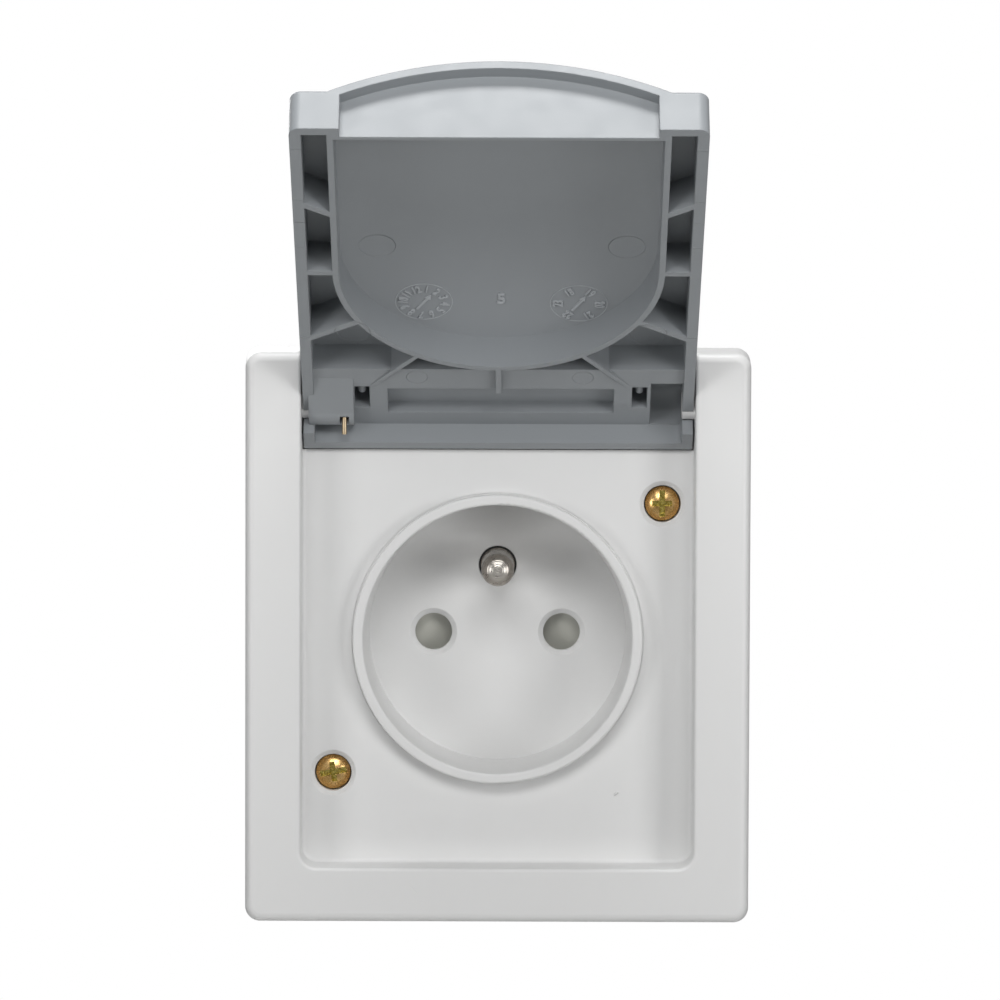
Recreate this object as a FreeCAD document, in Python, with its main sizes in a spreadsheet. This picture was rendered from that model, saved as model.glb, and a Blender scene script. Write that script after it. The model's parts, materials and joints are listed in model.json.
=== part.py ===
import FreeCAD, Part

import math
import os
import re

import Sketcher

# Flush socket with a sprung lid. X runs to the right, Z runs up and Y runs into the wall.
# The wall plane is Y = 0 and the middle of the well is X = 0, Z = 0. Names that end in _out
# are distances in front of the wall, and names that end in _in are distances behind it.

# Driving dimensions, in millimetres and degrees
SIZES = {
    # How far a cutting shape runs past what it cuts
    "overrun": 1.0,
    # Cover plate
    "plate_border": 8.55,
    "plate_ends": 16.6,
    "plate_rise": 0.55,
    "plate_draft": 2.3,
    "plate_corner": 2.2,
    "plate_edge": 1.3,
    "plate_wall": 2.0,
    "face_out": 15.0,
    "face_wall": 2.0,
    "gasket_thick": 1.0,
    "gasket_width": 2.4,
    "gasket_inset": 0.35,
    # Recess that the lid closes into
    "recess_room": 7.4,
    "recess_foot": 11.8,
    "recess_depth": 7.0,
    "recess_corner": 2.3,
    "recess_edge": 0.5,
    "recess_root": 0.6,
    "field_wall": 2.0,
    "tub_wall": 1.8,
    "trough_floor": 1.5,
    "sweep_gap": 0.35,
    "swing_reach": 24.0,
    "stop_gap": 0.15,
    "plate_rib": 1.2,
    # Cover screws and the bosses that hold them
    "screw_inset": 4.5,
    "screw_up": 19.75,
    "head_diameter": 5.0,
    "head_height": 2.3,
    "head_dome": 0.9,
    "head_hole": 5.4,
    "head_hole_edge": 0.65,
    "head_seat_out": 4.8,
    "screw_seal": 0.6,
    "boss_radius": 4.2,
    "boss_gap": 0.3,
    "shank_diameter": 2.9,
    "shank_hole": 3.4,
    "shank_tip_in": 2.2,
    "thread_play": 0.05,
    "slot_width": 0.85,
    "slot_length": 3.9,
    "slot_depth": 0.9,
    "cross_width": 0.8,
    "cross_length": 2.9,
    "cross_depth": 1.3,
    "lower_screw_turn": 80.0,
    # Hinge
    "axis_out": 10.1,
    "hinge_room": 13.1,
    "open_angle": 127.0,
    "pin_diameter": 4.0,
    "pin_play": 0.08,
    "stub_diameter": 2.4,
    "stub_end": 21.7,
    # Lid
    "lid_side_gap": 0.25,
    "lid_tip_gap": 0.6,
    "lid_end_gap": 0.4,
    "lid_rim_gap": 0.3,
    "lid_corner": 1.5,
    "lid_edge": 0.6,
    "side_wall": 1.6,
    "lid_skin": 1.5,
    "dome_radius": 53.4,
    "dome_rise": 5.0,
    "dome_skin": 1.4,
    "collar_gap": 1.2,
    "collar_wall": 0.9,
    "tip_wall": 1.4,
    "finger_inset": 0.8,
    "finger_depth": 1.8,
    "finger_wall": 0.6,
    "lip_thick": 1.2,
    "deck_drop": 1.0,
    "deck_end": 10.2,
    "strip_wall": 1.5,
    "strip_drop": 4.4,
    "cheek_end": 1.1,
    "rib_thick": 1.0,
    "rib_reach": 33.5,
    "rib_step": 30.0,
    "gusset_thick": 0.7,
    "gusset_length": 11.4,
    "gusset_turn": 38.0,
    "left_gusset_across": 11.5,
    "right_gusset_across": 12.0,
    "gusset_along": 14.6,
    "deck_rib": 0.8,
    "core_left": 16.0,
    "core_right": 16.7,
    "core_low": 0.5,
    "core_high": 5.4,
    "core_floor": 0.95,
    "left_window_inner": 18.6,
    "left_window_outer": 20.8,
    "right_window_inner": 19.3,
    "right_window_outer": 21.5,
    "window_low": 0.75,
    "window_high": 5.9,
    "peg_radius": 0.55,
    "peg_length": 2.4,
    "peg_out": 0.2,
    "pocket_inner": 22.0,
    "pocket_high": 6.8,
    "pocket_round": 3.4,
    # Knuckle on the left of the lid, and the spring in it
    "barrel_radius": 3.0,
    "barrel_inner": 20.9,
    "barrel_slope": 7.9,
    "barrel_cap": 0.5,
    "spring_bore": 2.35,
    "spring_wire": 0.7,
    "spring_radius": 1.75,
    "spring_pitch": 0.8,
    "spring_turns": 4.0,
    "spring_leg": 4.3,
    "leg_room": 0.3,
    "leg_from_cap": 0.9,
    # Well insert with its ring
    "ring_wall": 1.5,
    "ring_out": 10.5,
    "ring_edge": 0.35,
    "ring_gap": 0.2,
    "well_mouth": 19.6,
    "well_foot": 19.07,
    "floor_in": 4.5,
    "floor_thick": 2.0,
    "flange_reach": 3.9,
    "flange_thick": 2.0,
    "ear_radius": 3.0,
    "ear_inset": 0.6,
    "seal_inner_gap": 0.3,
    "seal_outer_gap": 0.4,
    # Power holes and earth pin
    "power_pitch": 19.0,
    "power_hole": 5.5,
    "power_hole_edge": 0.75,
    "earth_rise": 10.0,
    "earth_diameter": 4.8,
    "earth_hole": 5.6,
    "earth_play": 0.1,
    "earth_stand": 14.0,
    "earth_tip": 1.9,
    "shoulder_radius": 3.2,
    "tail_radius": 1.8,
    "tail_head": 0.5,
    # Steel support frame
    "frame_thick": 1.2,
    "frame_gap": 0.5,
    "frame_height": 54.0,
    "frame_corner": 3.0,
    "frame_opening_gap": 0.3,
    "box_screw_pitch": 60.0,
    "box_slot_width": 3.8,
    "box_slot_length": 5.2,
    # Screws that hold the insert, frame and housing together
    "stack_head": 4.2,
    "stack_sink": 1.3,
    "stack_shank": 2.4,
    "stack_ear_hole": 2.6,
    "stack_frame_hole": 3.0,
    "stack_length": 9.0,
    "stack_post": 2.6,
    "stack_post_depth": 12.0,
    "stack_end_room": 1.0,
    # Base housing
    "housing_lip": 0.5,
    "housing_wall": 1.8,
    "housing_depth": 26.5,
    "housing_back": 2.0,
    "entry_hole": 4.4,
    "driver_hole": 5.8,
    # Shutter, its guide and spring
    "shutter_gap": 0.3,
    "shutter_thick": 3.8,
    "pad_inner": 6.0,
    "pad_outer": 13.0,
    "pad_low": 3.2,
    "pad_high": 3.4,
    "pad_ramp": 2.6,
    "arm_inner": 4.6,
    "arm_front": 1.8,
    "bridge_low": 4.8,
    "bridge_high": 3.0,
    "rail_gap": 0.3,
    "rail_thick": 1.6,
    "rail_low": 8.0,
    "rail_high": 14.9,
    "stop_bar_gap": 0.3,
    "web_thick": 0.8,
    "web_gap": 0.3,
    "web_high": 9.9,
    "web_hole": 6.4,
    "web_notch": 3.9,
    "web_notch_low": 6.4,
    "seat_half": 2.2,
    "seat_low": 5.9,
    "coil_radius": 1.4,
    "coil_wire": 0.4,
    "coil_turns": 6.0,
    # Contacts and terminals
    "clip_radius": 3.1,
    "clip_bore": 4.7,
    "clip_end_gap": 2.4,
    "clip_slot": 1.2,
    "clip_front_gap": 0.4,
    "foot_half": 1.5,
    "foot_thick": 0.8,
    "block_half": 4.0,
    "block_low": 15.0,
    "block_high": 6.0,
    "block_front_in": 14.0,
    "wire_hole": 3.8,
    "block_wire_low": 9.5,
    "terminal_shank": 3.4,
    "terminal_head": 5.2,
    "terminal_head_height": 1.9,
    "terminal_stand": 1.5,
    "terminal_bite": 0.3,
    "terminal_slot": 0.8,
    "terminal_slot_depth": 0.9,
    # Earth strap and its terminal
    "strap_half": 3.5,
    "strap_thick": 1.0,
    "strap_low": 6.5,
    "strap_leg_gap": 0.4,
    "earth_block_low": 12.5,
    "earth_block_high": 20.4,
    "earth_wire_rise": 15.4,
    "earth_terminal_stand": 0.6,
    "earth_terminal_head": 1.5,
}

# Sizes that follow from the driving dimensions
DERIVED = {
    "ring_radius": "well_mouth + ring_wall",
    "flange_radius": "ring_radius + flange_reach",
    "ear_place": "(flange_radius - ear_inset)/sqrt(2)",
    "housing_radius": "flange_radius + housing_lip",
    "axis_rise": "ring_radius + hinge_room",
    "recess_half": "ring_radius + recess_room",
    "recess_bottom": "ring_radius + recess_foot",
    "plate_width": "2*(recess_half + plate_border)",
    "plate_height": "axis_rise + recess_bottom + plate_ends",
    "screw_across": "recess_half - screw_inset",
    "field_out": "face_out - recess_depth",
    "hinge_round": "face_out - axis_out",
    "lid_half": "recess_half - lid_side_gap",
    "lid_reach": "axis_rise + recess_bottom - lid_tip_gap",
    "rim_drop": "axis_out - field_out - lid_rim_gap",
    "recess_top": "axis_rise + hinge_round + lid_end_gap",
    "strip_sweep": "sqrt(hinge_round^2 + strip_drop^2)",
    "trough_low": "axis_rise - sqrt(strip_sweep^2 - (axis_out - field_out)^2) - sweep_gap",
    "trough_out": "axis_out - strip_sweep - sweep_gap",
    "draft_in": "(face_out - gasket_thick)*tan(plate_draft)",
    "hollow_half": "plate_width/2 - plate_wall - draft_in",
    "hollow_low": "plate_rise - plate_height/2 + plate_wall + draft_in",
    "hollow_high": "plate_rise + plate_height/2 - plate_wall - draft_in",
    "collar_radius": "ring_radius + collar_gap",
    "finger_half": "collar_radius - finger_inset",
    "head_ball": "(head_diameter^2/4 + head_dome^2)/(2*head_dome)",
    "lid_inner": "lid_half - side_wall",
    "lid_ceiling": "hinge_round - lid_skin",
    "band_end": "lid_reach - tip_wall",
    "tip_inner": "lid_reach - finger_depth - finger_wall",
    "dome_foot": "sqrt(dome_radius^2 - (dome_radius - dome_rise)^2)",
    "floor_back": "floor_in + floor_thick",
    "shutter_front": "floor_back + shutter_gap",
    "shutter_back": "shutter_front + shutter_thick",
    "web_front": "shutter_back + web_gap",
    "web_back": "web_front + web_thick",
    "clip_front": "web_back + clip_front_gap",
    "inner_back": "housing_depth - housing_back",
    "clip_length": "inner_back - clip_front - clip_end_gap",
    "screw_depth": "(block_front_in + inner_back)/2",
    "strap_leg": "ring_radius + strap_leg_gap",
}

SKETCH_START = 10.0
SAME = 1e-4

doc = FreeCAD.newDocument("weatherproof_socket")


# Spreadsheets
def make_sheet(name, cells):
    """A sheet with one named cell for each size."""
    sheet = doc.addObject("Spreadsheet::Sheet", name)
    for row, (alias, content) in enumerate(cells.items(), start=1):
        sheet.set("A%d" % row, alias)
        sheet.set("B%d" % row, content)
        sheet.setAlias("B%d" % row, alias)
    doc.recompute()
    return sheet


def sized(text, lead="derived."):
    """An expression with each size led by the name of its sheet."""
    def led(match):
        word = match[0]
        if word in SIZES:
            return "sizes." + word
        return lead + word if word in DERIVED else word
    return re.sub(r"[a-z_]+", led, text)


def bind(item, **properties):
    """Bind properties to expressions, with a double underscore for a dot."""
    for name, text in properties.items():
        item.setExpression(name.replace("__", "."), sized(text))
    return item


# Part primitives and booleans
def box(name, x, y, z):
    """A block between two expressions along each axis."""
    item = doc.addObject("Part::Box", name)
    bind(item, Length="(%s) - (%s)" % (x[1], x[0]), Width="(%s) - (%s)" % (y[1], y[0]),
         Height="(%s) - (%s)" % (z[1], z[0]))
    return bind(item, Placement__Base__x=x[0], Placement__Base__y=y[0], Placement__Base__z=z[0])


TURNS = {
    "x": FreeCAD.Rotation(FreeCAD.Vector(0, 1, 0), 90),
    "y": FreeCAD.Rotation(FreeCAD.Vector(1, 0, 0), -90),
    "z": FreeCAD.Rotation(),
}


def rod(name, axis, radius, start, length, centre=("0", "0", "0")):
    """A cylinder along an axis, from start, its centre line through centre."""
    item = doc.addObject("Part::Cylinder", name)
    item.Placement = FreeCAD.Placement(FreeCAD.Vector(), TURNS[axis])
    place = dict(zip("xyz", centre))
    place[axis] = start
    bind(item, Radius=radius, Height=length)
    return bind(item, Placement__Base__x=place["x"], Placement__Base__y=place["y"],
                Placement__Base__z=place["z"])


def ball(name, axis, radius, x, y, z):
    """A sphere about a point, its poles along an axis."""
    item = bind(doc.addObject("Part::Sphere", name), Radius=radius)
    item.Placement = FreeCAD.Placement(FreeCAD.Vector(), TURNS[axis])
    return bind(item, Placement__Base__x=x, Placement__Base__y=y, Placement__Base__z=z)


def fuse(name, *items):
    item = doc.addObject("Part::MultiFuse", name)
    item.Shapes = list(items)
    item.Refine = True
    return item


def common(name, *items):
    item = doc.addObject("Part::MultiCommon", name)
    item.Shapes = list(items)
    return item


def cut(name, base, *tools):
    """The base less all the tools."""
    item = doc.addObject("Part::Cut", name)
    item.Base = base
    item.Tool = tools[0] if len(tools) == 1 else fuse(name + "_tools", *tools)
    item.Refine = True
    return item


# PartDesign bodies
def new_body(name):
    return doc.addObject("PartDesign::Body", name)


def sketch_on(body, plane, offset="0"):
    """A sketch on one of the body's own planes, moved along the plane's normal."""
    sketch = body.newObject("Sketcher::SketchObject", body.Name + "_sketch")
    support = next(item for item in body.Origin.OriginFeatures if item.Role == plane)
    sketch.AttachmentSupport = [(support, "")]
    sketch.MapMode = "FlatFace"
    return bind(sketch, AttachmentOffset__Base__z=offset)


def pin_down(sketch, kind, geometry, point, text, value):
    """Fix one coordinate of a point from the sketch's origin."""
    index = sketch.addConstraint(Sketcher.Constraint(kind, -1, 1, geometry, point, value))
    sketch.setExpression("Constraints[%d]" % index, sized(text))


def polygon(sketch, corners):
    """A closed outline through corners that are given as expressions."""
    first = sketch.GeometryCount
    count = len(corners)
    spots = [FreeCAD.Vector(math.cos(math.tau * step / count), math.sin(math.tau * step / count), 0)
             * SKETCH_START for step in range(count)]
    sketch.addGeometry([Part.LineSegment(spots[step], spots[(step + 1) % count])
                        for step in range(count)], False)
    sketch.addConstraint([Sketcher.Constraint("Coincident", first + step, 2, first + (step + 1) % count, 1)
                          for step in range(count)])
    for step, (across, up) in enumerate(corners):
        pin_down(sketch, "DistanceX", first + step, 1, across, spots[step].x)
        pin_down(sketch, "DistanceY", first + step, 1, up, spots[step].y)


def rectangle(sketch, left, right, low, high):
    polygon(sketch, [(left, low), (right, low), (right, high), (left, high)])


def circle(sketch, radius, across="0", up="0"):
    geometry = sketch.addGeometry(Part.Circle(FreeCAD.Vector(), FreeCAD.Vector(0, 0, 1), 1.0), False)
    index = sketch.addConstraint(Sketcher.Constraint("Radius", geometry, 1.0))
    sketch.setExpression("Constraints[%d]" % index, sized(radius))
    pin_down(sketch, "DistanceX", geometry, 3, across, 0.0)
    pin_down(sketch, "DistanceY", geometry, 3, up, 0.0)


def front_sketch(body, out):
    """A sketch that faces the viewer, a distance in front of the wall."""
    return sketch_on(body, "XZ_Plane", out)


def side_sketch(body, across):
    """A sketch that faces right, a distance to the right of the middle."""
    return sketch_on(body, "YZ_Plane", across)


def pad(body, sketch, length, **more):
    """Material from the sketch towards its normal."""
    feature = body.newObject("PartDesign::Pad", body.Name + "_pad")
    feature.Profile = sketch
    return bind(feature, Length=length, **more)


def pocket(body, sketch, length):
    """A cut from the sketch away from its normal."""
    before = volume_of(body)
    feature = body.newObject("PartDesign::Pocket", body.Name + "_pocket")
    feature.Profile = sketch
    bind(feature, Length=length)
    if volume_of(body) >= before:
        raise RuntimeError("a pocket of %s cuts nothing" % body.Name)
    return feature


def revolve(body, profile):
    """A turned body about the Y axis, from radius and depth pairs."""
    sketch = sketch_on(body, "XY_Plane")
    polygon(sketch, profile)
    feature = body.newObject("PartDesign::Revolution", body.Name + "_turned")
    feature.Profile = sketch
    feature.ReferenceAxis = (sketch, ["V_Axis"])
    return feature


def volume_of(body):
    doc.recompute()
    return body.Tip.Shape.Volume


def dress(body, kind, wanted, **size):
    """Round or bevel the edges that a test picks."""
    doc.recompute()
    base = body.Tip
    edges = ["Edge%d" % (index + 1) for index, edge in enumerate(base.Shape.Edges) if wanted(edge)]
    feature = body.newObject("PartDesign::" + kind, body.Name + "_" + kind.lower())
    feature.Base = (base, edges)
    return bind(feature, **size)


def value(alias):
    """The number that a size has in its sheet."""
    sheet = sizes if alias in SIZES else derived
    return float(sheet.get(alias))


# Tests that pick edges
def lies_at(edge, out):
    """True for an edge that lies in one plane in front of the wall."""
    limits = edge.BoundBox
    return abs(limits.YMin + out) < SAME and abs(limits.YMax + out) < SAME


def runs_in(edge):
    """True for a straight edge that runs from front to back, drafted or not."""
    limits = edge.BoundBox
    straight = abs(edge.Length - limits.DiagonalLength) < SAME
    return straight and limits.YLength > max(limits.XLength, limits.ZLength)


def round_at(edge, x, z, radius):
    """True for a circle of a radius about a line from front to back."""
    if not isinstance(edge.Curve, Part.Circle):
        return False
    centre = edge.Curve.Center
    same_place = math.hypot(centre.x - x, centre.z - z) < SAME
    return same_place and abs(edge.Curve.Radius - radius) < SAME


# Cover plate
def cover_plate():
    """White plate with the recess, the hinge trough, two hinge pins and two screw bosses."""
    body = new_body("cover_plate")
    plate_outside(body)
    plate_hollow(body)
    plate_recess(body)
    plate_screw_holes(body)
    plate_hinge_pins(body)
    plate_ribs(body)
    return body


def plate_outside(body):
    sketch = front_sketch(body, "gasket_thick")
    rectangle(sketch, "-plate_width/2", "plate_width/2", "plate_rise - plate_height/2",
              "plate_rise + plate_height/2")
    pad(body, sketch, "face_out - gasket_thick", TaperAngle="-plate_draft")
    dress(body, "Fillet", runs_in, Radius="plate_corner")
    dress(body, "Fillet", lambda edge: lies_at(edge, value("face_out")), Radius="plate_edge")


def plate_hollow(body):
    """Hollow back that leaves the tub of the recess and the deeper trough of the hinge."""
    deep = front_sketch(body, "face_out - face_wall")
    tub_half = "recess_half + tub_wall"
    rectangle(deep, "-hollow_half", "-(%s)" % tub_half, "hollow_low", "hollow_high")
    rectangle(deep, tub_half, "hollow_half", "hollow_low", "hollow_high")
    pocket(body, deep, "face_out")
    below = front_sketch(body, "face_out - face_wall")
    rectangle(below, "-(%s)" % tub_half, tub_half, "hollow_low", "-recess_bottom - tub_wall")
    pocket(body, below, "face_out")
    field = front_sketch(body, "field_out - field_wall")
    rectangle(field, "-(%s)" % tub_half, tub_half, "-recess_bottom - tub_wall",
              "trough_low - tub_wall")
    pocket(body, field, "face_out")
    trough = front_sketch(body, "trough_out - trough_floor")
    rectangle(trough, "-(%s)" % tub_half, tub_half, "trough_low - tub_wall", "hollow_high")
    pocket(body, trough, "face_out")


def plate_recess(body):
    """Recess with rounded corners, the trough behind the hinge and the way out for the lid."""
    recess = front_sketch(body, "face_out")
    rectangle(recess, "-recess_half", "recess_half", "-recess_bottom", "recess_top")
    pocket(body, recess, "recess_depth")
    low = -value("recess_bottom")
    half = value("recess_half")
    dress(body, "Fillet",
          lambda edge: runs_in(edge) and abs(abs(edge.CenterOfMass.x) - half) < SAME
          and abs(edge.CenterOfMass.z - low) < SAME, Radius="recess_corner")
    dress(body, "Fillet", in_recess("field_out"), Radius="recess_root")
    trough = front_sketch(body, "field_out + recess_root")
    rectangle(trough, "-recess_half", "recess_half", "trough_low", "recess_top")
    pocket(body, trough, "field_out + recess_root - trough_out")
    swing = side_sketch(body, "recess_half")
    swing_out = "(hinge_round + stop_gap)"
    polygon(swing, [
        ("-axis_out", "axis_rise"),
        ("-axis_out - cos(open_angle)*%s" % swing_out, "axis_rise + sin(open_angle)*%s" % swing_out),
        ("-axis_out - cos(open_angle)*%s - sin(open_angle)*swing_reach" % swing_out,
         "axis_rise + sin(open_angle)*%s - cos(open_angle)*swing_reach" % swing_out),
        ("-axis_out - sin(open_angle)*swing_reach", "axis_rise - cos(open_angle)*swing_reach"),
    ])
    pocket(body, swing, "2*recess_half")
    mouth = front_sketch(body, "field_out + recess_root")
    circle(mouth, "ring_radius + ring_gap")
    pocket(body, mouth, "field_out")
    dress(body, "Fillet", in_recess("face_out"), Radius="recess_edge")


def in_recess(level):
    """A test for the edges of the recess's sides and foot at one level."""
    out = value(level)
    half = value("recess_half")
    low = -value("recess_bottom")
    top = value("recess_top")

    def wanted(edge):
        limits = edge.BoundBox
        inside = limits.XMin > -half - SAME and limits.XMax < half + SAME
        within = limits.ZMin > low - SAME and limits.ZMax < top + SAME
        on_side = abs(edge.CenterOfMass.x) > value("ring_radius") + SAME
        on_foot = edge.CenterOfMass.z < low + value("recess_corner")
        return lies_at(edge, out) and inside and within and (on_side or on_foot)
    return wanted


def screw_places():
    return (("screw_across", "screw_up"), ("-screw_across", "-screw_up"))


def plate_screw_holes(body):
    """Boss, head hole and shank hole of each cover screw."""
    boss = front_sketch(body, "frame_thick + boss_gap")
    for across, up in screw_places():
        circle(boss, "boss_radius", across, up)
    pad(body, boss, "field_out - field_wall/2 - frame_thick - boss_gap")
    head = front_sketch(body, "field_out")
    shank = front_sketch(body, "field_out")
    for across, up in screw_places():
        circle(head, "head_hole/2", across, up)
    pocket(body, head, "field_out - head_seat_out + screw_seal")
    for across, up in screw_places():
        circle(shank, "shank_hole/2", across, up)
    pocket(body, shank, "field_out")
    radius = value("head_hole") / 2
    places = ((value("screw_across"), value("screw_up")), (-value("screw_across"), -value("screw_up")))
    dress(body, "Chamfer",
          lambda edge: lies_at(edge, value("field_out"))
          and any(round_at(edge, x, z, radius) for x, z in places), Size="head_hole_edge")


def plate_hinge_pins(body):
    """A pin on each side of the recess. The left one steps down to carry the spring."""
    pin = "side_wall + lid_side_gap + tub_wall/2"
    for start, length, radius in (
            ("recess_half - side_wall - lid_side_gap", pin, "pin_diameter/2"),
            ("-recess_half - tub_wall/2", pin, "pin_diameter/2"),
            ("-recess_half - tub_wall/2", "recess_half + tub_wall/2 - stub_end", "stub_diameter/2")):
        sketch = side_sketch(body, start)
        circle(sketch, radius, "-axis_out", "axis_rise")
        pad(body, sketch, length)


def plate_ribs(body):
    """Stiffening ribs in the hollow, from the tub to the outer walls."""
    ribs = front_sketch(body, "field_out - field_wall")
    for side in ("", "-"):
        for up in ("-screw_up", "0", "screw_up"):
            near, far = "%s(recess_half + tub_wall/2)" % side, "%s(hollow_half + plate_wall/2)" % side
            left, right = (near, far) if side == "" else (far, near)
            rectangle(ribs, left, right, "(%s) - plate_rib/2" % up, "(%s) + plate_rib/2" % up)
    pad(body, ribs, "recess_depth")


def plate_gasket():
    """Foam ring between the plate's back rim and the wall."""
    body = new_body("plate_gasket")
    sketch = front_sketch(body, "0")
    for inset in ("gasket_inset", "(gasket_inset + gasket_width)"):
        rectangle(sketch, "-plate_width/2 + %s" % inset, "plate_width/2 - %s" % inset,
                  "plate_rise - plate_height/2 + %s" % inset, "plate_rise + plate_height/2 - %s" % inset)
    pad(body, sketch, "gasket_thick")
    outer = value("plate_width") / 2 - value("gasket_inset")
    dress(body, "Fillet", lambda edge: runs_in(edge) and abs(abs(edge.CenterOfMass.x) - outer) < SAME,
          Radius="plate_corner - gasket_inset")
    return body


# Cover screws
def cover_screw(name, across, up, turn):
    """Domed head with a slot and a cross, and a shank into the frame."""
    top = "head_seat_out + head_height"
    body = fuse(name + "_blank",
                common(name + "_head",
                       rod(name + "_rim", "y", "head_diameter/2", "-(%s)" % top, "head_height"),
                       ball(name + "_dome", "y", "head_ball", "0", "-(%s) + head_ball" % top, "0")),
                rod(name + "_shank", "y", "shank_diameter/2", "-head_seat_out - head_height/2",
                    "head_seat_out + head_height/2 + shank_tip_in"))
    drives = []
    for tag, width, length, depth in (("slot", "slot_width", "slot_length", "slot_depth"),
                                      ("cross_up", "cross_width", "cross_length", "cross_depth"),
                                      ("cross_over", "cross_length", "cross_width", "cross_depth")):
        drives.append(box(name + "_" + tag, ("-%s/2" % width, "%s/2" % width),
                          ("-(%s) - %s" % (top, depth), "-(%s) + %s" % (top, depth)),
                          ("-%s/2" % length, "%s/2" % length)))
    screw = cut(name, body, *drives)
    screw.Placement = FreeCAD.Placement(FreeCAD.Vector(), FreeCAD.Rotation(FreeCAD.Vector(0, 1, 0), 1))
    return bind(screw, Placement__Base__x=across, Placement__Base__z=up, Placement__Rotation__Angle=turn)


def ring(name, outer, inner, front, back, x="0", z="0"):
    """A flat ring about a line from front to back."""
    body = new_body(name)
    revolve(body, [(inner, front), (outer, front), (outer, back), (inner, back)])
    return bind(body, Placement__Base__x=x, Placement__Base__z=z)


# Lid, drawn shut about its hinge axis: the tip points down and the outside faces the viewer
def lid_box(name, across, along, out):
    """A block in the lid's own directions: across, from the hinge to the tip, and outwards."""
    return box(name, across, ("-(%s)" % out[1], "-(%s)" % out[0]),
               ("-(%s)" % along[1], "-(%s)" % along[0]))


def collar_prism(name, radius, tip, low, high):
    """A prism with a round hinge end about the well and straight sides to the tip."""
    return fuse(name,
                rod(name + "_round", "y", radius, "-(%s)" % high, "(%s) - (%s)" % (high, low),
                    ("0", "0", "-axis_rise")),
                lid_box(name + "_sides", ("-(%s)" % radius, radius), ("axis_rise", tip), (low, high)))


def dome_solid(name, radius):
    """A barrel vault towards the tip that ends in a ball about the well."""
    centre = "dome_radius - dome_rise - hinge_round"
    return fuse(name,
                ball(name + "_ball", "z", radius, "0", centre, "-axis_rise"),
                rod(name + "_vault", "z", radius, "-lid_reach", "lid_reach - axis_rise",
                    ("0", centre, "0")))


def lid_outside():
    """Flat flange with rounded corners, hinge roll, strip and cheeks, and the dome."""
    flange = doc.addObject("Part::Fillet", "lid_flange")
    flange.Base = lid_box("lid_block", ("-lid_half", "lid_half"), ("0", "lid_reach"),
                          ("-rim_drop", "hinge_round"))
    doc.recompute()
    flange.Edges = flange_edges(flange.Base.Shape)
    roll = common("lid_roll",
                  rod("lid_roll_rod", "x", "hinge_round", "-lid_half", "2*lid_half"),
                  lid_box("lid_roll_part", ("-lid_half", "lid_half"), ("-hinge_round", "lid_edge"),
                          ("0", "hinge_round")))
    strip = lid_box("lid_strip", ("-lid_half", "lid_half"), ("-hinge_round", "-hinge_round + strip_wall"),
                    ("-strip_drop", "0"))
    web = lid_box("lid_web", ("-lid_half", "lid_half"), ("-hinge_round", "0"), ("-rim_drop", "0"))
    cheeks = [lid_box("lid_cheek_%s" % tag, side, ("-hinge_round", "-cheek_end"), ("-strip_drop", "0"))
              for tag, side in (("left", ("-lid_half", "-lid_half + side_wall")),
                                ("right", ("lid_half - side_wall", "lid_half")))]
    dome = common("lid_dome", dome_solid("lid_dome_outer", "dome_radius"),
                  lid_box("lid_dome_part", ("-dome_foot - overrun", "dome_foot + overrun"),
                          ("axis_rise - dome_foot - overrun", "lid_reach"),
                          ("lid_ceiling", "hinge_round + dome_rise + overrun")))
    return fuse("lid_outside", flange, roll, strip, web, dome, *cheeks)


def flange_edges(shape):
    """The tip corners and the outer edges of the flange, with their radii."""
    edges = []
    half, tip, out = value("lid_half"), -value("lid_reach"), -value("hinge_round")
    for index, edge in enumerate(shape.Edges, start=1):
        middle = edge.CenterOfMass
        at_tip = abs(middle.z - tip) < SAME
        at_side = abs(abs(middle.x) - half) < SAME
        if at_tip and at_side:
            edges.append((index, value("lid_corner"), value("lid_corner")))
        elif abs(middle.y - out) < SAME and (at_tip or at_side):
            edges.append((index, value("lid_edge"), value("lid_edge")))
    return edges


def lid_band(deck_ribs):
    """The pocket round the collar, crossed by ribs that point at the well."""
    below = "-rim_drop - overrun"
    band = lid_box("band_block", ("-lid_inner", "lid_inner"), ("deck_end", "band_end"),
                   (below, "lid_ceiling"))
    solid = [collar_prism("band_collar", "collar_radius + collar_wall", "lid_reach", below, "lid_ceiling")]
    for tag, step in (("level", "0"), ("falling", "1"), ("rising", "-1")):
        bar = box("band_rib_" + tag, ("-rib_reach", "rib_reach"), ("-lid_ceiling", "rim_drop + overrun"),
                  ("-rib_thick/2", "rib_thick/2"))
        bar.setExpression("Placement", sized(
            "placement(vector(-rib_reach; -lid_ceiling; -axis_rise - rib_thick/2);"
            " rotation(vector(0; 1; 0); %s*rib_step); vector(rib_reach; 0; rib_thick/2))" % step))
        solid.append(bar)
    return cut("lid_band", band, *solid, *deck_ribs)


def lid_prism(name, start, length, corners):
    """A prism across the lid, its corners given along the lid and outwards."""
    body = new_body(name)
    sketch = side_sketch(body, start)
    polygon(sketch, [("-(%s)" % out, "-(%s)" % along) for along, out in corners])
    pad(body, sketch, length)
    return body


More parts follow.
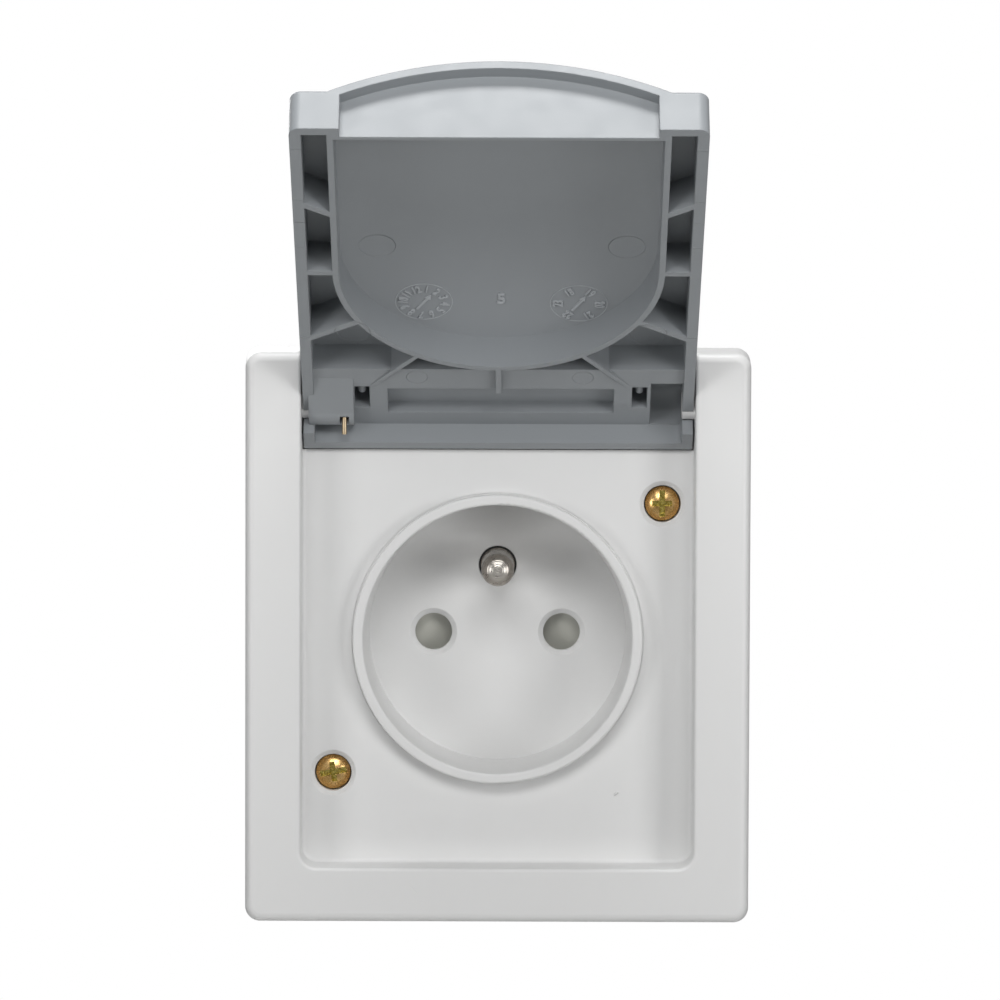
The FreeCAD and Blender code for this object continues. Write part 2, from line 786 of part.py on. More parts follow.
def lid_deck_ribs():
    """The rib in the middle of the deck and the sloping gussets beside it."""
    ribs = [lid_box("deck_rib_middle", ("-deck_rib/2", "deck_rib/2"), ("core_high", "deck_end + overrun"),
                    ("-rim_drop", "lid_ceiling"))]
    for tag, across, turn in (("left", "-left_gusset_across", "-gusset_turn"),
                              ("right", "right_gusset_across", "gusset_turn")):
        gusset = lid_prism("deck_gusset_" + tag, "-gusset_thick/2", "gusset_thick", [
            ("0", "-rim_drop"), ("-gusset_length", "-deck_drop"), ("-gusset_length", "lid_ceiling"),
            ("0", "lid_ceiling"),
        ])
        gusset.setExpression("Placement", sized(
            "placement(vector(%s; 0; -gusset_along); rotation(vector(0; 1; 0); %s))" % (across, turn)))
        ribs.append(gusset)
    return ribs


def lid_cavity():
    """The space inside the collar, up to the underside of the dome."""
    return common("lid_cavity",
                  dome_solid("lid_dome_inner", "dome_radius - dome_skin"),
                  collar_prism("lid_cavity_plan", "collar_radius", "tip_inner", "-rim_drop - overrun",
                               "hinge_round + dome_rise"))


def lid_finger_recess():
    """The pull recess in the tip, up to the underside of the arched lip."""
    return common("lid_finger_recess",
                  rod("lip_vault", "z", "dome_radius - lip_thick", "-lid_reach - overrun",
                      "finger_depth + overrun", ("0", "dome_radius - dome_rise - hinge_round", "0")),
                  lid_box("lid_finger_plan", ("-finger_half", "finger_half"),
                          ("lid_reach - finger_depth", "lid_reach + overrun"),
                          ("-rim_drop - overrun", "hinge_round + dome_rise")))


def lid_deck_cuts(deck_ribs):
    """The step down to the deck, its cored slot, two windows and the pocket on the right."""
    step = lid_box("deck_step_block", ("-lid_inner", "lid_inner"), ("-hinge_round + strip_wall", "deck_end"),
                   ("-strip_drop - overrun", "-deck_drop"))
    cuts = [
        cut("deck_step", step, *deck_ribs),
        lid_box("deck_slot", ("-core_left", "core_right"), ("-core_low", "core_high"),
                ("-rim_drop", "core_floor")),
        lid_box("deck_pocket", ("pocket_inner", "lid_inner"), ("0", "pocket_high"),
                ("-rim_drop", "lid_ceiling")),
        rod("deck_pocket_round", "x", "pocket_round", "pocket_inner", "lid_inner - pocket_inner"),
    ]
    for tag, left, right in (("left", "-left_window_outer", "-left_window_inner"),
                             ("right", "right_window_inner", "right_window_outer")):
        window = lid_box("window_block_" + tag, (left, right), ("window_low", "window_high"),
                         ("-rim_drop", "lid_ceiling"))
        peg = rod("window_peg_" + tag, "z", "peg_radius", "-window_high", "peg_length",
                  ("(%s + %s)/2" % (left, right), "-peg_out", "0"))
        cuts.append(cut("window_" + tag, window, peg))
    return cuts


def lid_knuckle():
    """The barrel that houses the spring, with a slope up to the deck."""
    start, length = "-lid_half + side_wall/2", "lid_half - side_wall/2 - barrel_inner"
    slope = lid_prism("lid_barrel_slope", start, length, [
        ("0", "-barrel_radius"), ("barrel_slope", "-deck_drop"), ("barrel_slope", "0"), ("0", "0"),
    ])
    return [rod("lid_barrel", "x", "barrel_radius", start, length), slope]


def lid_hinge_cuts():
    """Bores for the hinge pins and the spring, and the notch for the spring's leg."""
    hole = "pin_diameter/2 + pin_play"
    room = "(spring_wire/2 + leg_room)"
    reach = "(barrel_radius + overrun)"
    notch = box("spring_notch", ("-" + room, room), ("-" + room, room), ("-" + reach, "-spring_wire"))
    notch.setExpression("Placement", sized(
        "placement(vector(-barrel_inner - barrel_cap - leg_from_cap - %s; -spring_radius - %s; -%s);"
        " rotation(vector(1; 0; 0); open_angle); vector(0; spring_radius + %s; %s))"
        % (room, room, reach, room, reach)))
    return [
        rod("pin_hole_left", "x", hole, "-lid_half - overrun", "side_wall + overrun"),
        rod("pin_hole_right", "x", hole, "lid_inner", "side_wall + overrun"),
        rod("spring_hole", "x", "spring_bore", "-lid_inner", "lid_inner - barrel_inner - barrel_cap"),
        notch,
    ]


def lid():
    """Grey lid, turned open about the hinge axis."""
    deck_ribs = lid_deck_ribs()
    shell = cut("lid_shell", lid_outside(), lid_cavity(), lid_band(deck_ribs), lid_finger_recess(),
                *lid_deck_cuts(deck_ribs))
    whole = cut("lid", fuse("lid_with_barrel", shell, *lid_knuckle()), *lid_hinge_cuts())
    whole.Placement = FreeCAD.Placement(FreeCAD.Vector(), FreeCAD.Rotation(FreeCAD.Vector(1, 0, 0), -1))
    return bind(whole, Placement__Base__y="-axis_out", Placement__Base__z="axis_rise",
                Placement__Rotation__Angle="-open_angle")


# Springs
def coil(name, radius, wire, pitch, height):
    """A round wire swept along a helix about its own Z axis."""
    helix = bind(doc.addObject("Part::Helix", name + "_path"), Radius=radius, Pitch=pitch, Height=height)
    section = doc.addObject("Part::Circle", name + "_section")
    section.Placement = FreeCAD.Placement(FreeCAD.Vector(), FreeCAD.Rotation(FreeCAD.Vector(1, 0, 0), 90))
    bind(section, Radius="%s/2" % wire, Placement__Base__x=radius)
    doc.recompute()
    sweep = doc.addObject("Part::Sweep", name)
    sweep.Sections = [section]
    sweep.Spine = (helix, ["Edge%d" % (index + 1) for index in range(len(helix.Shape.Edges))])
    sweep.Solid = True
    sweep.Frenet = True
    return sweep


def lid_spring():
    """Torsion spring about the left hinge pin, its leg against the lid's strip."""
    wound = coil("lid_spring_coil", "spring_radius", "spring_wire", "spring_pitch",
                 "spring_pitch*spring_turns")
    wound.Placement = FreeCAD.Placement(FreeCAD.Vector(), FreeCAD.Rotation(
        FreeCAD.Vector(0, -1, 0), FreeCAD.Vector(0, 0, 1), FreeCAD.Vector(-1, 0, 0), "XYZ"))
    middle = "-barrel_inner - barrel_cap - leg_from_cap"
    bind(wound, Placement__Base__x=middle, Placement__Base__y="-axis_out", Placement__Base__z="axis_rise")
    leg = rod("lid_spring_leg", "z", "spring_wire/2", "axis_rise - spring_leg", "spring_leg",
              (middle, "-axis_out - spring_radius", "0"))
    return fuse("lid_spring", wound, leg)


def shutter_spring():
    """Return spring between the shutter's bridge and the seat on the guide."""
    room = "(seat_low + bridge_high - coil_wire)"
    spring = coil("shutter_spring", "coil_radius", "coil_wire", "%s/coil_turns" % room, room)
    return bind(spring, Placement__Base__y="(shutter_front + shutter_back)/2",
                Placement__Base__z="-bridge_high + coil_wire/2")


# Well insert
def socket_front():
    """Ring, well and floor in one moulding, with a flange that sits on the frame."""
    body = new_body("socket_front")
    revolve(body, [
        ("0", "floor_in"), ("well_foot", "floor_in"), ("well_mouth", "-ring_out"),
        ("ring_radius", "-ring_out"), ("ring_radius", "-frame_thick - flange_thick"),
        ("flange_radius", "-frame_thick - flange_thick"),
        ("flange_radius", "-frame_thick"), ("ring_radius", "-frame_thick"), ("ring_radius", "floor_back"),
        ("0", "floor_back"),
    ])
    dress(body, "Fillet", lambda edge: lies_at(edge, value("ring_out")), Radius="ring_edge")
    ears = front_sketch(body, "frame_thick")
    for across, up in ear_places():
        circle(ears, "ear_radius", across, up)
    pad(body, ears, "flange_thick")
    front_holes(body)
    clear = front_sketch(body, "frame_thick + flange_thick")
    for across, up in ear_places():
        circle(clear, "stack_ear_hole/2", across, up)
    pocket(body, clear, "flange_thick")
    radius = value("stack_ear_hole") / 2
    place = value("ear_place")
    dress(body, "Chamfer",
          lambda edge: lies_at(edge, value("frame_thick") + value("flange_thick"))
          and (round_at(edge, place, -place, radius) or round_at(edge, -place, place, radius)),
          Size="(stack_head - stack_ear_hole)/2")
    return body


def front_holes(body):
    """The two power holes with their bevels, and the hole for the earth pin."""
    holes = front_sketch(body, "-floor_in")
    circle(holes, "power_hole/2", "power_pitch/2", "0")
    circle(holes, "power_hole/2", "-power_pitch/2", "0")
    circle(holes, "earth_hole/2", "0", "earth_rise")
    pocket(body, holes, "floor_thick")
    radius = value("power_hole") / 2
    half = value("power_pitch") / 2
    dress(body, "Chamfer",
          lambda edge: lies_at(edge, -value("floor_in"))
          and (round_at(edge, half, 0, radius) or round_at(edge, -half, 0, radius)), Size="power_hole_edge")


def ear_places():
    return (("ear_place", "-ear_place"), ("-ear_place", "ear_place"))


def earth_pin():
    """Nickel-plated pin with a rounded tip, a shoulder behind the floor and a riveted tail."""
    body = new_body("earth_pin")
    tip = "floor_in - earth_stand"
    revolve(body, [
        ("0", tip), ("earth_diameter/2", tip), ("earth_diameter/2", "floor_in"),
        ("earth_hole/2 - earth_play", "floor_in"), ("earth_hole/2 - earth_play", "floor_back"),
        ("shoulder_radius", "floor_back"), ("shoulder_radius", "web_front"), ("tail_radius", "web_front"),
        ("tail_radius", "web_front + strap_thick + tail_head"), ("0", "web_front + strap_thick + tail_head"),
    ])
    dress(body, "Fillet", lambda edge: lies_at(edge, value("earth_stand") - value("floor_in")),
          Radius="earth_tip")
    return bind(body, Placement__Base__z="earth_rise")


# Support frame
def support_frame():
    """Steel plate that is screwed to the flush box and carries the whole socket."""
    body = new_body("support_frame")
    plate = front_sketch(body, "0")
    half = "hollow_half - frame_gap"
    rectangle(plate, "-(%s)" % half, half, "-frame_height/2", "frame_height/2")
    circle(plate, "ring_radius + frame_opening_gap")
    pad(body, plate, "frame_thick")
    dress(body, "Fillet", runs_in, Radius="frame_corner")
    frame_holes(body)
    return body


def frame_holes(body):
    """Slots for the box screws, threads for the cover screws and holes for the stack screws."""
    slots = front_sketch(body, "frame_thick")
    for side in ("", "-"):
        middle = "%sbox_screw_pitch/2" % side
        flat = "(box_slot_length - box_slot_width)/2"
        rectangle(slots, "%s - %s" % (middle, flat), "%s + %s" % (middle, flat),
                  "-box_slot_width/2", "box_slot_width/2")
    pocket(body, slots, "frame_thick")
    for end in ("-", "+"):
        ends = front_sketch(body, "frame_thick")
        for side in ("", "-"):
            circle(ends, "box_slot_width/2",
                   "%sbox_screw_pitch/2 %s (box_slot_length - box_slot_width)/2" % (side, end), "0")
        pocket(body, ends, "frame_thick")
    threads = front_sketch(body, "frame_thick")
    for across, up in screw_places():
        circle(threads, "shank_diameter/2 + thread_play", across, up)
    for across, up in ear_places():
        circle(threads, "stack_frame_hole/2", across, up)
    pocket(body, threads, "frame_thick")


def stack_screw(name, across, up):
    """Countersunk screw through ear and frame into the housing's post."""
    body = new_body(name)
    front = "-frame_thick - flange_thick"
    revolve(body, [
        ("0", front), ("stack_head/2 - thread_play", front),
        ("stack_shank/2", "%s + (stack_head - stack_shank)/2 - thread_play" % front),
        ("stack_shank/2", "stack_length"), ("0", "stack_length"),
    ])
    slot = front_sketch(body, "frame_thick + flange_thick")
    rectangle(slot, "-stack_head/2", "stack_head/2", "-terminal_slot/2", "terminal_slot/2")
    pocket(body, slot, "stack_sink/2")
    return bind(body, Placement__Base__x=across, Placement__Base__z=up)


# Base housing
def base_housing():
    """Round cup behind the frame, with posts for the stack screws and holes for wires."""
    body = new_body("base_housing")
    revolve(body, [
        ("housing_radius - housing_wall", "0"), ("housing_radius", "0"), ("housing_radius", "housing_depth"),
        ("0", "housing_depth"), ("0", "inner_back"), ("housing_radius - housing_wall", "inner_back"),
    ])
    posts = front_sketch(body, "-stack_post_depth")
    for across, up in ear_places():
        circle(posts, "stack_post", across, up)
    pad(body, posts, "stack_post_depth")
    threads = front_sketch(body, "0")
    for across, up in ear_places():
        circle(threads, "stack_shank/2 + thread_play", across, up)
    pocket(body, threads, "stack_length + stack_end_room")
    wires = front_sketch(body, "-inner_back")
    circle(wires, "entry_hole/2", "power_pitch/2", "-block_wire_low")
    circle(wires, "entry_hole/2", "-power_pitch/2", "-block_wire_low")
    circle(wires, "entry_hole/2", "0", "earth_wire_rise")
    pocket(body, wires, "housing_back")
    driver_holes(body)
    return body


def driver_holes(body):
    """Holes in the round wall for turning the terminal screws."""
    below = sketch_on(body, "XY_Plane", "-block_high")
    for side in ("", "-"):
        circle(below, "driver_hole/2", "%spower_pitch/2" % side, "screw_depth")
    pocket(body, below, "housing_radius")
    above = sketch_on(body, "XY_Plane", "housing_radius")
    circle(above, "driver_hole/2", "0", "screw_depth")
    pocket(body, above, "housing_radius - earth_block_high")


# Shutter and guide
def shutter():
    """Two ramped pads behind the power holes, joined by a bridge under the spring."""
    body = new_body("shutter")
    shutter_pad(body, "pad_inner")
    reach = "(pad_inner + web_thick)"
    bridge = front_sketch(body, "-shutter_back")
    rectangle(bridge, "-" + reach, reach, "-bridge_low", "-bridge_high")
    pad(body, bridge, "shutter_thick")
    for left, right in (("arm_inner", reach), ("-" + reach, "-arm_inner")):
        arm = front_sketch(body, "-shutter_back")
        rectangle(arm, left, right, "-bridge_low", "pad_high")
        pad(body, arm, "shutter_thick - arm_front")
    shutter_pad(body, "-pad_outer")
    return body


def shutter_pad(body, left):
    """A pad that the plug's pin pushes upwards by its ramp."""
    sketch = side_sketch(body, left)
    polygon(sketch, [
        ("shutter_back", "-pad_low"), ("shutter_back", "pad_high"), ("shutter_front", "pad_high"),
        ("shutter_front + pad_ramp", "-pad_low"),
    ])
    pad(body, sketch, "pad_outer - pad_inner")


def shutter_guide():
    """Rails beside the shutter, a web behind it and a seat for its spring."""
    body = new_body("shutter_guide")
    web = front_sketch(body, "-web_back")
    outer = "(pad_outer + rail_gap + rail_thick)"
    rectangle(web, "-" + outer, outer, "-rail_low", "web_high")
    pad(body, web, "web_thick")
    rails = front_sketch(body, "-web_back")
    rectangle(rails, "-" + outer, "-pad_outer - rail_gap", "-rail_low", "rail_high")
    rectangle(rails, "pad_outer + rail_gap", outer, "-rail_low", "rail_high")
    pad(body, rails, "web_back - floor_back")
    bars = front_sketch(body, "-web_back")
    rectangle(bars, "-" + outer, outer, "-rail_low", "-bridge_low - stop_bar_gap")
    pad(body, bars, "web_back - floor_back")
    top_bar = front_sketch(body, "-shutter_back")
    rectangle(top_bar, "-" + outer, outer, "rail_high - rail_thick/2", "rail_high")
    pad(body, top_bar, "shutter_back - floor_back")
    guide_seat_and_holes(body)
    return body


def guide_seat_and_holes(body):
    seat = front_sketch(body, "-web_back")
    rectangle(seat, "-seat_half", "seat_half", "seat_low", "web_notch_low")
    pad(body, seat, "shutter_thick")
    holes = front_sketch(body, "-floor_back")
    circle(holes, "web_hole/2", "power_pitch/2", "0")
    circle(holes, "web_hole/2", "-power_pitch/2", "0")
    rectangle(holes, "-web_notch", "web_notch", "web_notch_low", "web_high + web_thick")
    pocket(body, holes, "web_back")


# Contacts and terminals
def contact(name, side):
    """Split sleeve that grips the plug's pin, with a foot on its terminal."""
    body = new_body(name)
    middle = "%spower_pitch/2" % side
    sleeve = front_sketch(body, "-clip_front - clip_length")
    circle(sleeve, "clip_radius", middle, "0")
    circle(sleeve, "clip_bore/2", middle, "0")
    pad(body, sleeve, "clip_length")
    foot = front_sketch(body, "-clip_front - clip_length")
    rectangle(foot, "%s - foot_half" % middle, "%s + foot_half" % middle, "-block_high",
              "-(clip_radius + clip_bore/2)/2")
    pad(body, foot, "foot_thick")
    split = front_sketch(body, "-clip_front")
    rectangle(split, "%s - clip_slot/2" % middle, "%s + clip_slot/2" % middle, "0", "clip_radius + clip_slot")
    pocket(body, split, "clip_length")
    return body


def terminal_block(name, middle, low, high, wire, thread_low, thread_high):
    """Brass block with a wire hole from the back and a threaded hole for its screw."""
    blank = box(name + "_blank", ("(%s) - block_half" % middle, "(%s) + block_half" % middle),
                ("block_front_in", "inner_back"), (low, high))
    hole = rod(name + "_wire", "y", "wire_hole/2", "block_front_in + foot_thick", "inner_back",
               (middle, "0", wire))
    thread = rod(name + "_thread", "z", "terminal_shank/2 + thread_play", thread_low,
                 "(%s) - (%s)" % (thread_high, thread_low), (middle, "screw_depth", "0"))
    return cut(name, blank, hole, thread)


def terminal_screw(name, middle, tip, seat, stand, head, direction):
    """Slotted screw that clamps the wire in its block."""
    outer = "(%s) %s (%s + %s)" % (seat, direction, stand, head)
    under = "(%s) %s %s" % (seat, direction, stand)
    low, high = (tip, outer) if direction == "+" else (outer, tip)
    head_low, head_high = (under, outer) if direction == "+" else (outer, under)
    shank = rod(name + "_shank", "z", "terminal_shank/2", low, "(%s) - (%s)" % (high, low),
                (middle, "screw_depth", "0"))
    cap = rod(name + "_head", "z", "terminal_head/2", head_low, "(%s) - (%s)" % (head_high, head_low),
              (middle, "screw_depth", "0"))
    slot = box(name + "_slot", ("(%s) - terminal_head" % middle, "(%s) + terminal_head" % middle),
               ("screw_depth - terminal_slot/2", "screw_depth + terminal_slot/2"),
               ("(%s) - terminal_slot_depth" % outer, "(%s) + terminal_slot_depth" % outer))
    return cut(name, fuse(name + "_blank", shank, cap), slot)


def earth_strap():
    """Bent strip from the earth pin to the frame, with a tongue to the earth terminal."""
    riser = box("strap_riser", ("-strap_half", "strap_half"), ("web_front", "web_front + strap_thick"),
                ("strap_low", "strap_leg + strap_thick"))
    leg = box("strap_leg_piece", ("-strap_half", "strap_half"), ("0", "web_front + strap_thick"),
              ("strap_leg", "strap_leg + strap_thick"))
    tongue = box("strap_tongue", ("-strap_half", "strap_half"), ("web_front", "block_front_in"),
                 ("earth_wire_rise - strap_thick/2", "earth_wire_rise + strap_thick/2"))
    hole = rod("strap_hole", "y", "tail_radius + thread_play", "web_front - overrun",
               "strap_thick + 2*overrun", ("0", "0", "earth_rise"))
    return cut("earth_strap", fuse("strap_blank", riser, leg, tongue), hole)


def all_terminals():
    """The live, neutral and earth contacts with their blocks and screws."""
    made = {}
    for name, side in (("live", ""), ("neutral", "-")):
        middle = "%spower_pitch/2" % side
        made[name + "_contact"] = contact(name + "_contact", side)
        made[name + "_terminal"] = terminal_block(name + "_terminal", middle, "-block_low", "-block_high",
                                                  "-block_wire_low", "-block_low", "-block_wire_low")
        made[name + "_terminal_screw"] = terminal_screw(
            name + "_terminal_screw", middle, "-block_wire_low - wire_hole/2 - terminal_bite", "-block_low",
            "terminal_stand", "terminal_head_height", "-")
    made["earth_strap"] = earth_strap()
    made["earth_terminal"] = terminal_block("earth_terminal", "0", "earth_block_low", "earth_block_high",
                                            "earth_wire_rise", "earth_wire_rise", "earth_block_high")
    made["earth_terminal_screw"] = terminal_screw(
        "earth_terminal_screw", "0", "earth_wire_rise + wire_hole/2 + terminal_bite", "earth_block_high",
        "earth_terminal_stand", "earth_terminal_head", "+")
    return made


def all_nodes():
    """Every sub-part by the name of its node."""
    made = {
        "cover_plate": cover_plate(),
        "plate_gasket": plate_gasket(),
        "cover_screw_upper": cover_screw("cover_screw_upper", "screw_across", "screw_up", "0"),
        "cover_screw_lower": cover_screw("cover_screw_lower", "-screw_across", "-screw_up",
                                         "lower_screw_turn"),
        "lid": lid(),
        "lid_spring": lid_spring(),
        "socket_front": socket_front(),
        "well_seal": ring("well_seal", "flange_radius - seal_outer_gap", "ring_radius + seal_inner_gap",
                          "-field_out + field_wall", "-frame_thick - flange_thick"),
        "earth_pin": earth_pin(),
        "support_frame": support_frame(),
        "base_housing": base_housing(),
        "shutter": shutter(),
        "shutter_guide": shutter_guide(),
        "shutter_spring": shutter_spring(),
    }
    for name, (across, up) in zip(("upper", "lower"), screw_places()):
        made["screw_seal_" + name] = ring(
            "screw_seal_" + name, "head_diameter/2", "shank_diameter/2 + thread_play", "-head_seat_out",
            "-head_seat_out + screw_seal", across, up)
    for name, (across, up) in zip(("lower", "upper"), ear_places()):
        made["stack_screw_" + name] = stack_screw("stack_screw_" + name, across, up)
    made.update(all_terminals())
    return made


def check(nodes):
    """Stop if any object failed or any sub-part isn't a sound solid."""
    for item in doc.Objects:
        if "Invalid" in item.State or "Error" in item.State:
            raise RuntimeError("%s failed: %s" % (item.Name, item.State))
    for name, item in nodes.items():
        shape = item.Shape
        if shape.isNull() or not shape.isValid() or not shape.Solids:
            raise RuntimeError("%s has no sound shape" % name)


def export(nodes):
    os.makedirs("parts", exist_ok=True)
    for name, item in nodes.items():
        item.Label = name
        item.Shape.exportStep(os.path.join("parts", name + ".step"))


sizes = make_sheet("sizes", {alias: repr(number) for alias, number in SIZES.items()})
derived = make_sheet("derived", {alias: "=" + sized(text, "") for alias, text in DERIVED.items()})
nodes = all_nodes()
doc.recompute()
check(nodes)
export(nodes)
for name, item in sorted(nodes.items()):
    print("%-22s %8.1f mm3  %d solid" % (name, item.Shape.Volume, len(item.Shape.Solids)))
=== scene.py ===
import json
import math

import bmesh
import bpy
from mathutils import Matrix, Vector

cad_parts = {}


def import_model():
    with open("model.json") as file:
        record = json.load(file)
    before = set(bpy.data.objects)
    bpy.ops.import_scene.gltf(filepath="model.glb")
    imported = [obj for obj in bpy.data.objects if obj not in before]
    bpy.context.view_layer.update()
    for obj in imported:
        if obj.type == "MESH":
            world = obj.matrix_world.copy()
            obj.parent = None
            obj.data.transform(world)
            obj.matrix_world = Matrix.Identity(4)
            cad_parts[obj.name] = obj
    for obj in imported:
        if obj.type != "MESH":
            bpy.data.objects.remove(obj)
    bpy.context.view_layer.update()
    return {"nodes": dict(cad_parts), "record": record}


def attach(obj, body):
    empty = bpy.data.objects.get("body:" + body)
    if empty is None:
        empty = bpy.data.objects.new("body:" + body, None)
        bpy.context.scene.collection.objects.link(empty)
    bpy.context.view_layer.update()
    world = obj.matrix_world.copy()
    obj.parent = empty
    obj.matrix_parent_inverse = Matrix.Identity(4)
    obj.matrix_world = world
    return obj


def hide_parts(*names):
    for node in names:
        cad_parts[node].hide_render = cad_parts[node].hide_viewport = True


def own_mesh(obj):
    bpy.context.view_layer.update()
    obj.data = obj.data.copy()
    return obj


# Lengths are metres in the frame of the part: X right, Y into the wall, Z up.
MM = 0.001
ORIGIN = (0.0, 0.0, 0.0)
X = (1.0, 0.0, 0.0)
Y = (0.0, 1.0, 0.0)
Z = (0.0, 0.0, 1.0)
FRONT = (0.0, -1.0, 0.0)

# Camera, opposite the plate and a little above the well, with its turns in degrees
CAMERA_PLACE = (0.0, -0.7193, 0.05663)
CAMERA_TILT = 2.928
CAMERA_YAW = 0.0234
CAMERA_ROLL = 0.2
CAMERA_LENS = 175.8
CAMERA_SENSOR = 36.0
CAMERA_CLIP = (0.01, 20.0)

# Place, aim, size and power of each lamp
LAMPS = {
    "top": ((0.0, -0.10, 0.60), (0.0, -0.02, 0.0), (0.30, 0.15), 2.4),
    "front": ((0.0, -0.32, 0.22), (0.0, -0.02, 0.02), (0.25, 0.12), 0.62),
    "left": ((-0.32, -0.34, 0.02), (0.0, -0.02, 0.0), (0.15, 0.20), 0.42),
    "right": ((0.32, -0.34, 0.02), (0.0, -0.02, 0.0), (0.15, 0.20), 0.56),
    "back": ((-0.20, 0.55, 0.25), (0.0, 0.02, 0.0), (0.30, 0.30), 1.6),
}

# The even light from all round, and how much of the white behind the object its gloss mirrors
FILL_COLOUR = (0.96, 0.98, 1.0, 1.0)
FILL_STRENGTH = 0.05
GLOSS_SHARE = 0.25
WHITE = (1.0, 1.0, 1.0, 1.0)

FLOOR_MIDDLE = (0.0, -0.02, -0.30)
FLOOR_HALF = 0.45
FLOOR_GLOW = 0.9

# The lid's own axes at rest: along runs from the hinge to the tip, and out is its outside
HINGE = Vector((0.0, -10.1, 34.2)) * MM
LID_ANGLE = math.radians(127)
ALONG = Vector((0.0, -math.sin(LID_ANGLE), -math.cos(LID_ANGLE)))
OUT = Vector((0.0, -math.cos(LID_ANGLE), math.sin(LID_ANGLE)))

# Underside of the dome: a vault towards the tip, and a ball towards the hinge
DOME_RADIUS = 52.0 * MM
DOME_CENTRE = -43.5 * MM
DOME_TURN = 34.2 * MM

# Marks are drawn flat and laid on the vault along a level line, across the lid's own axes
LEVEL_SLOPE = OUT.z / ALONG.z
LEVEL_ROUNDS = 20
MARK_HEIGHT = 0.24 * MM
MARK_SINK = 0.12 * MM
MARK_ROUNDING = 0.05 * MM
LETTER_SPREAD = 0.01 * MM

DIAL_RADIUS = 4.05 * MM
DIAL_STRETCH = 1.04
DIAL_LINE = 0.18 * MM
DIAL_STEPS = 72
DIAL_TOP = 0.22
DIGIT_CIRCLE = 2.9 * MM
DIGIT_SIZE = 1.95 * MM
DIGIT_WIDTH = 0.70

ARROW_LENGTH = 3.7 * MM
ARROW_SHAFT = 0.20 * MM
ARROW_HEAD = 0.50 * MM
ARROW_BARB = 0.9 * MM
ARROW_ROUNDING = 0.07 * MM

# Across the lid and along it, the numbers, the turn of the first one, and the arrow's turn
DIALS = {
    "date_dial_left": (-10.66 * MM, 18.55 * MM, range(1, 13), 8, 33),
    "date_dial_right": (11.42 * MM, 18.5 * MM, range(18, 24), -28, 31),
}
NUMERAL_PLACE = (0.36 * MM, 18.0 * MM)
NUMERAL_SIZE = 3.2 * MM
NUMERAL_WIDTH = 0.85

# Across the lid, along it, out of it, and radius, in millimetres
EJECTOR_MARKS = ((-17.1, 31.0, 5.45, 2.55), (18.0, 31.2, 5.2, 2.55), (-11.7, 8.25, -1.0, 1.5),
                 (12.15, 8.2, -1.0, 1.5), (-20.7, 13.4, 3.4, 2.5), (21.4, 12.9, 3.4, 2.5))
EJECTOR_BLUR = 0.09
EJECTOR_DEPTH = 0.13 * MM

# Along the lid, in millimetres, on its rims only
WITNESS_LINES = (19.1, 40.3, 45.9, 50.8, 62.0)
WITNESS_WIDTH = 0.16 * MM
WITNESS_HEIGHT = 0.09 * MM
RIM_START = (26.5 * MM, 26.7 * MM)

# A curled nick in the plate's field
NICK = (17.4 * MM, -8.0 * MM, -22.7 * MM)
NICK_ACROSS = (0.82, 0.0, 0.57)
NICK_UP = (-0.57, 0.0, 0.82)
NICK_CURL = 900.0
NICK_LINE = (0.06 * MM, 0.18 * MM)
NICK_REACH = (0.25 * MM, 0.42 * MM)
NICK_HEIGHT = 0.16 * MM

# A fine bowed scratch on the plate's face
SCRATCH_START = Vector((-13.05, -15.0, -34.99)) * MM
SCRATCH_END = Vector((-11.17, -15.0, -36.89)) * MM
SCRATCH_BOW = 60.0
SCRATCH_WIDTH = 0.07 * MM
SCRATCH_DEPTH = 0.03 * MM

# Heads of the two cover screws, the same on both sides of the middle
SCREW_PLACE = (24.0 * MM, 19.75 * MM)
SCREW_BALL = 3.92 * MM
SCREW_TOP = -7.06 * MM
SCREW_RECESS = (0.15 * MM, 0.35 * MM)
SCREW_SHANK = (-5.7 * MM, -5.6 * MM)

# The earth pin: its axis above the middle, the marks of turning, and radii of the painted
# highlight on its tip and of the painted shade for the gap round its foot
PIN_AXIS = (0.0, 0.0, 10.0 * MM)
PIN_RINGS = 0.30 * MM
PIN_FEED = 0.12 * MM
PIN_HIGHLIGHT = (1.1 * MM, 1.8 * MM)
PIN_GAP_SHADE = (2.45 * MM, 2.52 * MM)

# The gap between the well's ring and the cover plate, and the lip that closes it
GAP_INNER = 21.1 * MM
GAP_OUTER = 21.3 * MM
PLATE_FIELD = -8.0 * MM
LIP_OVERLAP = 0.04 * MM
LIP_SUNK = (0.11 * MM, 0.06 * MM)
LIP_BACK = 0.50 * MM
LIP_STEPS = 144

# Distance within which the spring's points are merged into one
MERGE_DISTANCE = 0.0001 * MM

# Shading of moulded plastic: rounded edges, slow patches, changes of gloss, grain and waves
EDGE_RADIUS = 0.22 * MM
EDGE_SAMPLES = 4
PATCH_SCALE = 55.0
GLOSS_SCALE = 260.0
GRAIN_SCALE = 5200.0
GRAIN_DEPTH = 0.012 * MM
WAVE_SCALE = 90.0
WAVE_DEPTH = 0.05 * MM
WAVE_STRENGTH = 0.35

FALLING = (1.0, 0.0)
EVEN = (1.0, 1.0, 1.0)


class Value:
    """An output in a material's node tree that arithmetic works on."""

    def __init__(self, paint, socket):
        self.paint = paint
        self.socket = socket

    def __add__(self, other):
        return self.paint.math("ADD", self, other)

    def __sub__(self, other):
        return self.paint.math("SUBTRACT", self, other)

    def __rsub__(self, other):
        return self.paint.math("SUBTRACT", other, self)

    def __mul__(self, other):
        return self.paint.math("MULTIPLY", self, other)

    def __truediv__(self, other):
        return self.paint.math("DIVIDE", self, other)

    def __abs__(self):
        return self.paint.math("ABSOLUTE", self)


